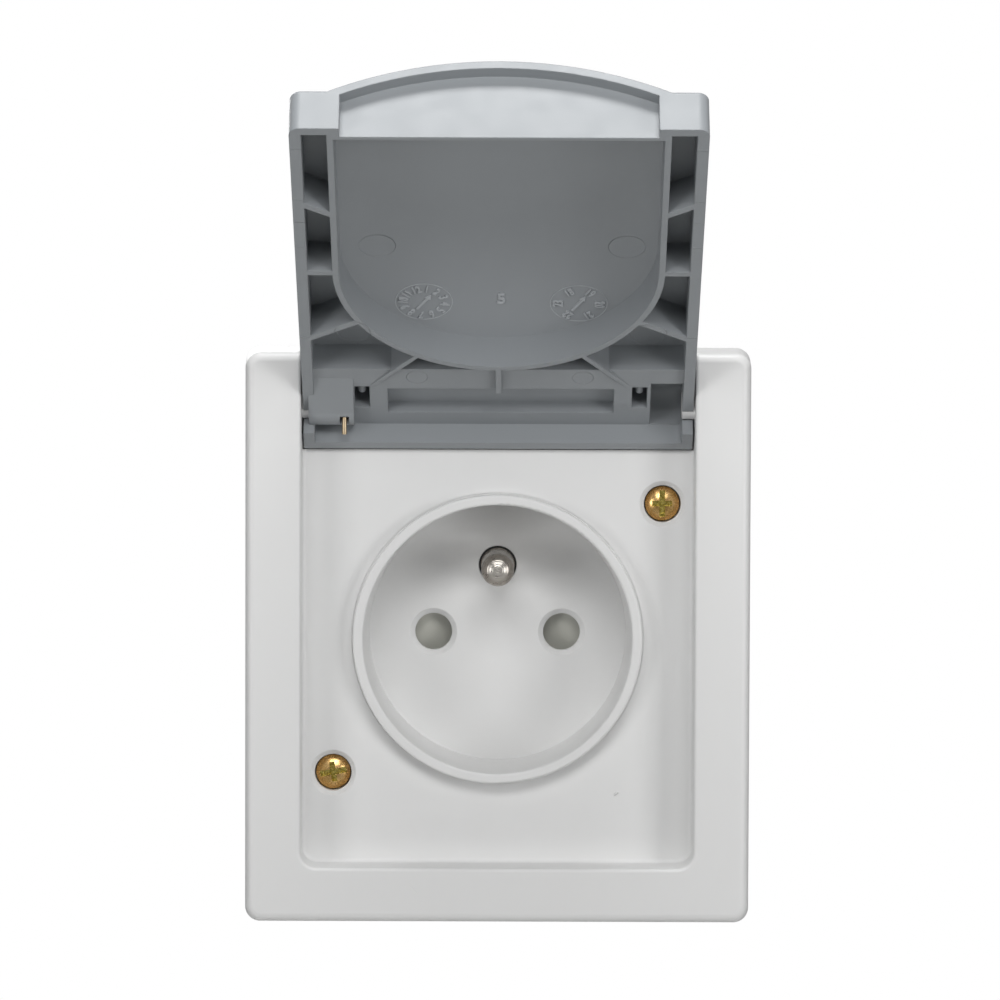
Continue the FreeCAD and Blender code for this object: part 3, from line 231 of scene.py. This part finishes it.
class Paint:
    """One material: its shader, and the nodes that vary it."""

    def __init__(self, name, colour, roughness, metallic=0.0):
        self.material = bpy.data.materials.new(name)
        self.material.use_nodes = True
        self.tree = self.material.node_tree
        self.shader = self.find("BSDF_PRINCIPLED")
        self.set("Base Color", (*colour, 1.0))
        self.set("Roughness", roughness)
        self.set("Metallic", metallic)
        self.place = self.node("ShaderNodeTexCoord", "Object")
        self.normal = None

    def find(self, kind):
        """The node of a kind that a new material holds."""
        return next(node for node in self.tree.nodes if node.type == kind)

    def set(self, key, item):
        """Give one input of the shader a constant or a value."""
        self.feed(self.shader.inputs[key], item)

    def feed(self, socket, item):
        """Give any input a constant or a value."""
        if isinstance(item, Value):
            self.tree.links.new(item.socket, socket)
        else:
            socket.default_value = item

    def node(self, kind, output, inputs=None, **settings):
        """Any node, with its settings and inputs, as the value of one output."""
        made = self.tree.nodes.new(kind)
        for key, item in settings.items():
            setattr(made, key, item)
        for key, item in (inputs or {}).items():
            self.feed(made.inputs[key], item)
        return Value(self, made.outputs[output])

    def math(self, operation, *items):
        """Arithmetic on numbers."""
        return self.node("ShaderNodeMath", "Value", dict(enumerate(items)), operation=operation)

    def vector(self, operation, output, *items):
        """Arithmetic on points and directions."""
        return self.node("ShaderNodeVectorMath", output, dict(enumerate(items)),
                         operation=operation)

    def along(self, direction, start=ORIGIN):
        """Distance from a point along a direction."""
        offset = self.vector("SUBTRACT", "Vector", self.place, tuple(start))
        return self.vector("DOT_PRODUCT", "Value", offset, tuple(direction))

    def faces(self, direction):
        """Cosine between the surface's normal and a direction."""
        normal = self.node("ShaderNodeTexCoord", "Normal")
        return self.vector("DOT_PRODUCT", "Value", normal, tuple(direction))

    def length(self, first, second):
        """Length of the long side over two short sides."""
        return self.math("SQRT", first * first + second * second)

    def waves(self, distance, pitch):
        """A sine that repeats at a pitch."""
        return self.math("SINE", distance * (math.tau / pitch))

    def largest(self, values):
        """The largest of several values."""
        result = values[0]
        for value in values[1:]:
            result = self.math("MAXIMUM", result, value)
        return result

    def noise(self, scale, detail=2.0, roughness=0.5, stretch=EVEN):
        """Smooth random changes about a half, at so many to the metre."""
        spread = self.vector("MULTIPLY", "Vector", self.place, stretch)
        return self.node("ShaderNodeTexNoise", "Fac", {
            "Vector": spread, "Scale": scale, "Detail": detail, "Roughness": roughness,
        })

    def cells(self, output, scale):
        """Random cells, by the distance from their middles or by their colours."""
        return self.node("ShaderNodeTexVoronoi", output, {"Vector": self.place, "Scale": scale})

    def ramp(self, item, span, result=(0.0, 1.0)):
        """A smooth step over a span, from one result to another."""
        return self.node("ShaderNodeMapRange", "Result", {
            "Value": item, "From Min": span[0], "From Max": span[1],
            "To Min": result[0], "To Max": result[1],
        }, interpolation_type="SMOOTHSTEP")

    def line(self, distance, width):
        """One on a line where a distance is nought, fading to nought at its width."""
        return self.ramp(abs(distance), (0.0, width), FALLING)

    def mix(self, share, first, second):
        """A blend of two colours, each a value or red, green and blue."""
        first, second = (end if isinstance(end, Value) else (*end, 1.0)
                         for end in (first, second))
        return self.node("ShaderNodeMix", 2, {"Factor": share, 6: first, 7: second},
                         data_type="RGBA")

    def round_edges(self, radius):
        """Shade sharp edges as moulded or tumbled ones, before any relief is added."""
        self.normal = self.node("ShaderNodeBevel", "Normal", {"Radius": radius},
                                samples=EDGE_SAMPLES)
        self.set("Normal", self.normal)

    def bump(self, height, distance, strength=1.0, sunk=False):
        """Add relief to what is there. Height is a value, and distance is metres for one."""
        inputs = {"Height": height, "Distance": distance, "Strength": strength}
        if self.normal is not None:
            inputs["Normal"] = self.normal
        self.normal = self.node("ShaderNodeBump", "Normal", inputs, invert=sunk)
        self.set("Normal", self.normal)


def tone(colour, factor):
    """A colour made darker or lighter."""
    return tuple(channel * factor for channel in colour)


def plastic(name, colour, roughness, grain=0.5, mottle=0.03):
    """A moulded plastic: fine grain, slow changes of gloss and a slight mottle."""
    paint = Paint(name, colour, roughness)
    patches = paint.noise(scale=PATCH_SCALE, detail=3.0)
    dark, light = tone(colour, 1.0 - mottle), tone(colour, 1.0 + mottle)
    paint.set("Base Color", paint.mix(patches, dark, light))
    gloss = paint.noise(scale=GLOSS_SCALE)
    paint.set("Roughness", paint.ramp(gloss, (0.25, 0.75), (roughness - 0.04, roughness + 0.05)))
    paint.round_edges(EDGE_RADIUS)
    paint.bump(paint.noise(scale=GRAIN_SCALE), GRAIN_DEPTH, grain)
    paint.bump(paint.noise(scale=WAVE_SCALE, detail=1.0), WAVE_DEPTH, WAVE_STRENGTH)
    return paint


def metal(name, colour, roughness, grain_scale, stretch=EVEN):
    """A metal with drawn or rolled grain and a slightly uneven tone."""
    paint = Paint(name, colour, roughness, metallic=1.0)
    patches = paint.noise(scale=420.0, detail=3.0)
    paint.set("Base Color", paint.mix(patches, tone(colour, 0.92), tone(colour, 1.08)))
    grain = paint.noise(scale=grain_scale, detail=3.0, roughness=0.6, stretch=stretch)
    paint.set("Roughness", paint.ramp(grain, (0.3, 0.7), (roughness - 0.06, roughness + 0.1)))
    paint.round_edges(EDGE_RADIUS / 2)
    paint.bump(grain, distance=0.02 * MM, strength=0.4)
    return paint


def add_nick(paint):
    """Raise the curled edge of a small nick."""
    across = paint.along(NICK_ACROSS, NICK)
    up = paint.along(NICK_UP, NICK)
    distance = paint.vector("DISTANCE", "Value", paint.place, NICK)
    curl = paint.ramp(abs(across * across * NICK_CURL + up), NICK_LINE, FALLING)
    paint.bump(curl * paint.ramp(distance, NICK_REACH, FALLING), NICK_HEIGHT)


def add_scratch(paint):
    """Sink a hair line with a slight bow."""
    run = SCRATCH_END - SCRATCH_START
    half = run.length / 2
    run.normalize()
    middle = (SCRATCH_START + SCRATCH_END) / 2
    reach = paint.along(run, middle)
    bow = paint.along((run.z, 0.0, -run.x), middle) - reach * reach * SCRATCH_BOW
    hair = paint.line(bow, SCRATCH_WIDTH) * paint.line(reach, half)
    paint.bump(hair, SCRATCH_DEPTH, sunk=True)


def white_plastic():
    """Cover plate and insert, with a nick in the field and a fine scratch on the face."""
    paint = plastic("white_plastic", (0.79, 0.79, 0.785), roughness=0.42, grain=0.4,
                    mottle=0.008)
    add_nick(paint)
    add_scratch(paint)
    return paint


def grey_plastic():
    """The lid, with ejector marks on its inner faces and witness lines across its rims."""
    paint = plastic("grey_plastic", (0.297, 0.315, 0.331), roughness=0.40, mottle=0.02)
    across = paint.along(X)
    along = paint.along(ALONG, HINGE)
    out = paint.along(OUT, HINGE)
    inner = paint.ramp(paint.faces(OUT), (-0.5, -0.2), FALLING)
    discs = []
    for x, u, w, radius in EJECTOR_MARKS:
        level = (along - u * MM) + (out - w * MM) * LEVEL_SLOPE
        edge = ((radius - EJECTOR_BLUR) * MM, (radius + EJECTOR_BLUR) * MM)
        discs.append(paint.ramp(paint.length(across - x * MM, level), edge, FALLING))
    paint.bump(paint.largest(discs) * inner, EJECTOR_DEPTH, sunk=True)
    lines = [paint.line(along - u * MM, WITNESS_WIDTH) for u in WITNESS_LINES]
    rims = paint.ramp(abs(across), RIM_START)
    paint.bump(paint.largest(lines) * rims * inner, WITNESS_HEIGHT)
    return paint


def mark_plastic():
    """The lid's plastic where it stands out in small letters, painted lighter than the lid as a
    painted highlight where the raised strokes catch the light.
    """
    # Painted highlight: this grey is lighter than the lid's own, for letters that catch the light
    colour = (0.43, 0.45, 0.47)
    paint = Paint("mark_plastic", colour, roughness=0.36)
    uneven_tone = paint.noise(scale=900.0, detail=3.0)
    paint.set("Base Color", paint.mix(uneven_tone, tone(colour, 0.92), tone(colour, 1.06)))
    paint.bump(paint.noise(scale=GRAIN_SCALE), GRAIN_DEPTH / 2, strength=0.5)
    return paint


def nickel_pin():
    """Turned pin with nickel plating: the tool's rings on its tip, a painted highlight lighter in
    the middle of the tip, and painted shade, near black, for the gap round its foot.
    """
    paint = Paint("nickel_pin", (0.66, 0.63, 0.59), roughness=0.24, metallic=1.0)
    radius = paint.length(paint.along(X), paint.along(Z, PIN_AXIS))
    tip = paint.ramp(paint.faces(FRONT), (0.4, 0.8))
    paint.bump(paint.waves(radius, PIN_RINGS) * tip, distance=0.010 * MM)
    paint.bump(paint.waves(paint.along(Y), PIN_FEED), distance=0.003 * MM, strength=0.5)
    worn = paint.noise(scale=900.0)
    shank = paint.mix(worn, (0.36, 0.325, 0.285), (0.43, 0.395, 0.355))
    # Painted highlight: the middle of the tip is painted lighter than the shank, for the lamps'
    # reflection on it
    tip_highlight = paint.ramp(radius, PIN_HIGHLIGHT, (0.85, 0.0))
    plating_and_highlight = paint.mix(tip_highlight, shank, (0.62, 0.59, 0.545))
    # Painted shade: from the foot of the pin outwards the metal is painted near black and dull,
    # for the shadowed gap round it
    gap = paint.ramp(radius, PIN_GAP_SHADE)
    paint.set("Base Color", paint.mix(gap, plating_and_highlight, (0.02, 0.02, 0.02)))
    paint.set("Metallic", 1.0 - gap)
    paint.set("Roughness", paint.ramp(worn, (0.3, 0.75), (0.24, 0.33)) + gap * 0.5)
    return paint


def yellow_screw():
    """Zinc plating with yellow passivation, uneven in colour, with fine turning marks."""
    paint = Paint("yellow_screw", (0.68, 0.43, 0.17), roughness=0.27, metallic=1.0)
    blotch = paint.ramp(paint.noise(scale=700.0, detail=3.0, roughness=0.6), (0.35, 0.65))
    dome = paint.mix(blotch, (0.74, 0.48, 0.20), (0.60, 0.37, 0.13))
    x = abs(paint.along(X)) - SCREW_PLACE[0]
    z = abs(paint.along(Z)) - SCREW_PLACE[1]
    y = paint.along(Y)
    depth = y - (x * x + z * z) / (2 * SCREW_BALL) - SCREW_TOP
    recess = paint.ramp(depth, SCREW_RECESS) * paint.ramp(y, SCREW_SHANK, FALLING)
    speck = paint.ramp(paint.noise(scale=2600.0, detail=3.0, roughness=0.6), (0.4, 0.65))
    drive = paint.mix(speck, (0.42, 0.32, 0.055), (0.85, 0.70, 0.20))
    paint.set("Base Color", paint.mix(recess, dome, drive))
    grit = paint.noise(scale=3400.0, detail=3.0, roughness=0.6)
    paint.set("Roughness", paint.ramp(grit, (0.3, 0.75), (0.2, 0.34)))
    paint.round_edges(EDGE_RADIUS / 5)
    paint.bump(grit, distance=0.010 * MM, strength=0.4)
    return paint


def foam_rubber():
    """Closed-cell foam with open cut cells on its edges."""
    paint = Paint("foam_rubber", (0.10, 0.10, 0.105), roughness=0.88)
    cells = paint.cells("Distance", scale=2600.0)
    paint.set("Base Color", paint.mix(cells, (0.055, 0.055, 0.06), (0.13, 0.13, 0.135)))
    paint.bump(cells, distance=0.14 * MM, strength=0.8)
    return paint


def seal_rubber():
    """Black rubber with a dull bloom."""
    paint = Paint("seal_rubber", (0.035, 0.035, 0.036), roughness=0.7)
    bloom = paint.noise(scale=500.0, detail=4.0, roughness=0.6)
    paint.set("Base Color", paint.mix(bloom, (0.028, 0.028, 0.03), (0.06, 0.06, 0.06)))
    paint.set("Roughness", paint.ramp(bloom, (0.3, 0.7), (0.6, 0.78)))
    paint.bump(paint.noise(scale=2600.0), distance=0.02 * MM, strength=0.5)
    return paint


def zinc_sheet():
    """Zinc-plated sheet with a faint crystal pattern and a rolled grain."""
    paint = Paint("frame_steel", (0.62, 0.63, 0.65), roughness=0.36, metallic=1.0)
    crystals = paint.cells("Color", scale=240.0)
    shade = paint.vector("DOT_PRODUCT", "Value", crystals, (0.33, 0.33, 0.33))
    paint.set("Base Color", paint.mix(shade, (0.52, 0.53, 0.55), (0.68, 0.69, 0.71)))
    rolled = paint.noise(scale=900.0, detail=3.0, roughness=0.6, stretch=(1.0, 1.0, 0.04))
    paint.set("Roughness", paint.ramp(rolled, (0.3, 0.7), (0.3, 0.46)))
    paint.bump(rolled, distance=0.015 * MM, strength=0.5)
    return paint


def make_paints():
    """One paint for each material slot of the record."""
    return {
        "white_plastic": white_plastic(),
        "grey_plastic": grey_plastic(),
        "foam_rubber": foam_rubber(),
        "seal_rubber": seal_rubber(),
        "yellow_screw": yellow_screw(),
        "spring_wire": metal("spring_wire", (0.48, 0.38, 0.25), roughness=0.36,
                             grain_scale=2500.0),
        "nickel_pin": nickel_pin(),
        "frame_steel": zinc_sheet(),
        "housing_plastic": plastic("housing_plastic", (0.50, 0.51, 0.52), roughness=0.5,
                                   grain=0.9, mottle=0.02),
        "shutter_plastic": plastic("shutter_plastic", (0.70, 0.70, 0.635), roughness=0.46,
                                   mottle=0.015),
        "plated_screw": metal("plated_screw", (0.60, 0.61, 0.62), roughness=0.3,
                              grain_scale=2200.0),
        "contact_brass": metal("contact_brass", (0.72, 0.55, 0.27), roughness=0.3,
                               grain_scale=1500.0, stretch=(1.0, 0.15, 1.0)),
    }


def dress_nodes(frame, paints):
    """Give every CAD node the paint of its slot."""
    for part in frame["record"]["subparts"]:
        node = frame["nodes"][part["node"]]
        node.data.materials.clear()
        node.data.materials.append(paints[part["material_slot"]].material)


def make_mesh(shapes, name):
    """Turn finished shapes into a mesh."""
    mesh = bpy.data.meshes.new(name)
    shapes.to_mesh(mesh)
    shapes.free()
    return mesh


def add_object(mesh, paint, body):
    """Show a mesh as a piece of its own, on a body and in a material slot."""
    thing = bpy.data.objects.new(mesh.name, mesh)
    bpy.context.scene.collection.objects.link(thing)
    mesh.materials.append(paint.material)
    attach(thing, body)
    return thing


def spin_section(shapes, corners, axis, steps):
    """Add a ring about an axis through the origin, from the corners of its section."""
    section = [shapes.verts.new(corner) for corner in corners]
    edges = [shapes.edges.new((section[index - 1], section[index]))
             for index in range(len(section))]
    bmesh.ops.spin(shapes, geom=section + edges, cent=ORIGIN, axis=axis, angle=math.tau,
                   steps=steps, use_merge=True)


def lid_point(x, u, w):
    """A point of the lid at rest, from its own coordinates."""
    return Vector((x, 0.0, 0.0)) + HINGE + ALONG * u + OUT * w


def ceiling(x, u):
    """How far out the underside of the dome lies."""
    back = max(0.0, DOME_TURN - u)
    return DOME_CENTRE + math.sqrt(DOME_RADIUS ** 2 - x * x - back * back)


def raised_text(shapes, words, size, width, turn=0.0, centre=(0.0, 0.0)):
    """Add raised letters with rounded edges, turned about the middle and moved to a centre."""
    curve = bpy.data.curves.new("words", "FONT")
    curve.body = words
    curve.size = size
    curve.align_x = "CENTER"
    curve.align_y = "CENTER"
    curve.bevel_depth = MARK_ROUNDING
    curve.bevel_resolution = 1
    curve.offset = LETTER_SPREAD
    curve.extrude = (MARK_HEIGHT + MARK_SINK) / 2 - MARK_ROUNDING
    curve.resolution_u = 3
    holder = bpy.data.objects.new("words", curve)
    mesh = bpy.data.meshes.new_from_object(holder)
    mesh.transform(Matrix.Translation((*centre, 0.0)) @ Matrix.Rotation(turn, 4, "Z")
                   @ Matrix.Diagonal((width, 1.0, 1.0, 1.0)))
    shapes.from_mesh(mesh)
    bpy.data.objects.remove(holder)
    bpy.data.curves.remove(curve)
    bpy.data.meshes.remove(mesh)


def raised_ring(shapes):
    """Add a dial's low ring about the middle, narrower at its top."""
    low = -(MARK_HEIGHT + MARK_SINK) / 2
    high = low + MARK_SINK + MARK_HEIGHT / 3
    corners = [(DIAL_RADIUS + share * DIAL_LINE, 0.0, height)
               for share, height in ((-0.5, low), (0.5, low), (DIAL_TOP, high), (-DIAL_TOP, high))]
    spin_section(shapes, corners, Z, DIAL_STEPS)


def raised_arrow(shapes, turn):
    """Add a raised arrow through the middle, with its top edges rounded."""
    low = -(MARK_HEIGHT + MARK_SINK) / 2
    tip = ARROW_LENGTH / 2
    neck = tip - ARROW_BARB
    outline = ((-ARROW_SHAFT, -tip), (ARROW_SHAFT, -tip), (ARROW_SHAFT, neck),
               (ARROW_HEAD, neck), (0.0, tip), (-ARROW_HEAD, neck), (-ARROW_SHAFT, neck))
    base = shapes.faces.new([shapes.verts.new((x, y, low)) for x, y in outline])
    raised = bmesh.ops.extrude_face_region(shapes, geom=[base])["geom"]
    corners = [item for item in raised if isinstance(item, bmesh.types.BMVert)]
    rims = [item for item in raised if isinstance(item, bmesh.types.BMEdge)]
    bmesh.ops.translate(shapes, verts=corners, vec=(0.0, 0.0, -2 * low))
    bmesh.ops.rotate(shapes, verts=corners + list(base.verts), cent=ORIGIN,
                     matrix=Matrix.Rotation(turn, 3, "Z"))
    bmesh.ops.bevel(shapes, geom=rims, offset=ARROW_ROUNDING, affect="EDGES", segments=2,
                    profile=0.5, material=-1)


def lay_on_ceiling(shapes, name, x, u, paint):
    """Bend the flat marks onto the underside of the dome and make them an object."""
    half = (MARK_HEIGHT + MARK_SINK) / 2
    middle = ceiling(x, u)
    for vertex in shapes.verts:
        across = x + vertex.co.x
        flat = u + DIAL_STRETCH * vertex.co.y
        along = flat
        for _ in range(LEVEL_ROUNDS):
            along = flat - (ceiling(across, along) - middle) * LEVEL_SLOPE
        rise = vertex.co.z + half - MARK_SINK
        vertex.co = lid_point(across, along, ceiling(across, along) - rise)
    bmesh.ops.recalc_face_normals(shapes, faces=shapes.faces)
    add_object(make_mesh(shapes, name), paint, "lid")


def date_dial(name, paint):
    """A round insert mark: a ring, numbers round it and an arrow."""
    x, u, numbers, first_turn, arrow_turn = DIALS[name]
    shapes = bmesh.new()
    raised_ring(shapes)
    for index, number in enumerate(numbers):
        angle = math.radians(first_turn + index * 360 / len(numbers))
        centre = (DIGIT_CIRCLE * math.sin(angle), DIGIT_CIRCLE * math.cos(angle))
        raised_text(shapes, str(number), DIGIT_SIZE, DIGIT_WIDTH, -angle, centre)
    raised_arrow(shapes, -math.radians(arrow_turn))
    lay_on_ceiling(shapes, name, x, u, paint)


def lid_marks(paint):
    """The two dials and the single numeral between them."""
    for name in DIALS:
        date_dial(name, paint)
    shapes = bmesh.new()
    raised_text(shapes, "5", NUMERAL_SIZE, NUMERAL_WIDTH)
    lay_on_ceiling(shapes, "cavity_numeral", *NUMERAL_PLACE, paint)


def shutter_coil(frame, paint):
    """The shutter's spring as a piece of its own, its points merged and its faces shaded smooth,
    in place of its CAD node.
    """
    shapes = bmesh.new()
    shapes.from_mesh(frame["nodes"]["shutter_spring"].data)
    bmesh.ops.remove_doubles(shapes, verts=shapes.verts, dist=MERGE_DISTANCE)
    for face in shapes.faces:
        face.smooth = True
    mesh = make_mesh(shapes, "shutter_coil")
    mesh.materials.clear()
    coil = add_object(mesh, paint, "base")
    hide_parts("shutter_spring")
    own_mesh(coil)


def gap_lip(paint):
    """A thin moulded lip that closes the gap between the plate and the well's ring."""
    shapes = bmesh.new()
    inner, outer = GAP_INNER - LIP_OVERLAP, GAP_OUTER + LIP_OVERLAP
    corners = [(radius, PLATE_FIELD + sunk, 0.0) for radius, sunk in
               ((inner, LIP_SUNK[0]), (outer, LIP_SUNK[1]), (outer, LIP_BACK), (inner, LIP_BACK))]
    spin_section(shapes, corners, Y, LIP_STEPS)
    bmesh.ops.recalc_face_normals(shapes, faces=shapes.faces)
    add_object(make_mesh(shapes, "gap_lip"), paint, "base")


def area_light(name, place, aim, size, power):
    """A lamp that lights the object but isn't seen itself."""
    light = bpy.data.lights.new(name, "AREA")
    light.shape = "RECTANGLE"
    light.size, light.size_y = size
    light.energy = power
    holder = bpy.data.objects.new(name, light)
    holder.location = place
    holder.rotation_euler = (Vector(aim) - Vector(place)).to_track_quat("-Z", "Y").to_euler()
    holder.visible_camera = False
    bpy.context.scene.collection.objects.link(holder)


def white_world():
    """A soft even fill that looks pure white behind the object, and partly so in its gloss."""
    world = bpy.data.worlds.new("studio")
    bpy.context.scene.world = world
    world.use_nodes = True
    tree = world.node_tree
    tree.nodes.clear()
    output = tree.nodes.new("ShaderNodeOutputWorld")
    fill = tree.nodes.new("ShaderNodeBackground")
    fill.inputs["Color"].default_value = FILL_COLOUR
    fill.inputs["Strength"].default_value = FILL_STRENGTH
    white = tree.nodes.new("ShaderNodeBackground")
    white.inputs["Color"].default_value = WHITE
    path = tree.nodes.new("ShaderNodeLightPath")
    seen = path.outputs["Is Camera Ray"]
    for ray, share in (("Is Transmission Ray", 1.0), ("Is Glossy Ray", GLOSS_SHARE)):
        dimmed = tree.nodes.new("ShaderNodeMath")
        dimmed.operation = "MULTIPLY"
        dimmed.inputs[1].default_value = share
        tree.links.new(path.outputs[ray], dimmed.inputs[0])
        either = tree.nodes.new("ShaderNodeMath")
        either.operation = "MAXIMUM"
        tree.links.new(seen, either.inputs[0])
        tree.links.new(dimmed.outputs[0], either.inputs[1])
        seen = either.outputs[0]
    mix = tree.nodes.new("ShaderNodeMixShader")
    tree.links.new(seen, mix.inputs["Fac"])
    tree.links.new(fill.outputs[0], mix.inputs[1])
    tree.links.new(white.outputs[0], mix.inputs[2])
    tree.links.new(mix.outputs[0], output.inputs["Surface"])


def lights():
    """The lamps and the fill from all round."""
    for name, values in LAMPS.items():
        area_light(name, *values)
    white_world()


def pale_floor():
    """A plain floor well below the object, nearly white to the camera."""
    shapes = bmesh.new()
    bmesh.ops.create_grid(shapes, x_segments=1, y_segments=1, size=FLOOR_HALF,
                          matrix=Matrix.Translation(FLOOR_MIDDLE))
    mesh = make_mesh(shapes, "floor")
    floor = bpy.data.objects.new("floor", mesh)
    bpy.context.scene.collection.objects.link(floor)
    paint = Paint("pale_floor", (0.80, 0.80, 0.79), roughness=0.8)
    patches = paint.noise(scale=6.0)
    paint.set("Base Color", paint.mix(patches, (0.78, 0.78, 0.77), (0.82, 0.82, 0.81)))
    seen = paint.node("ShaderNodeLightPath", "Is Camera Ray") * FLOOR_GLOW
    glow = paint.node("ShaderNodeEmission", "Emission", {"Color": WHITE, "Strength": 1.0})
    matt = Value(paint, paint.shader.outputs[0])
    lit = paint.node("ShaderNodeMixShader", "Shader", {0: seen, 1: matt, 2: glow})
    paint.feed(paint.find("OUTPUT_MATERIAL").inputs["Surface"], lit)
    mesh.materials.append(paint.material)


def camera():
    """The camera of the photo."""
    lens = bpy.data.cameras.new("camera")
    lens.lens = CAMERA_LENS
    lens.sensor_width = CAMERA_SENSOR
    lens.clip_start, lens.clip_end = CAMERA_CLIP
    holder = bpy.data.objects.new("camera", lens)
    bpy.context.scene.collection.objects.link(holder)
    turn = (Matrix.Rotation(-math.radians(CAMERA_YAW), 4, "Z")
            @ Matrix.Rotation(math.radians(90.0 - CAMERA_TILT), 4, "X")
            @ Matrix.Rotation(math.radians(CAMERA_ROLL), 4, "Z"))
    holder.matrix_world = Matrix.Translation(CAMERA_PLACE) @ turn
    bpy.context.scene.camera = holder


def main():
    """Load the frame, dress it and light it."""
    bpy.ops.wm.read_factory_settings(use_empty=True)
    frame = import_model()
    paints = make_paints()
    dress_nodes(frame, paints)
    shutter_coil(frame, paints["spring_wire"])
    gap_lip(paints["white_plastic"])
    lid_marks(mark_plastic())
    pale_floor()
    lights()
    camera()
    bpy.context.scene.view_settings.view_transform = "Standard"
    bpy.context.scene.cycles.use_denoising = True


main()
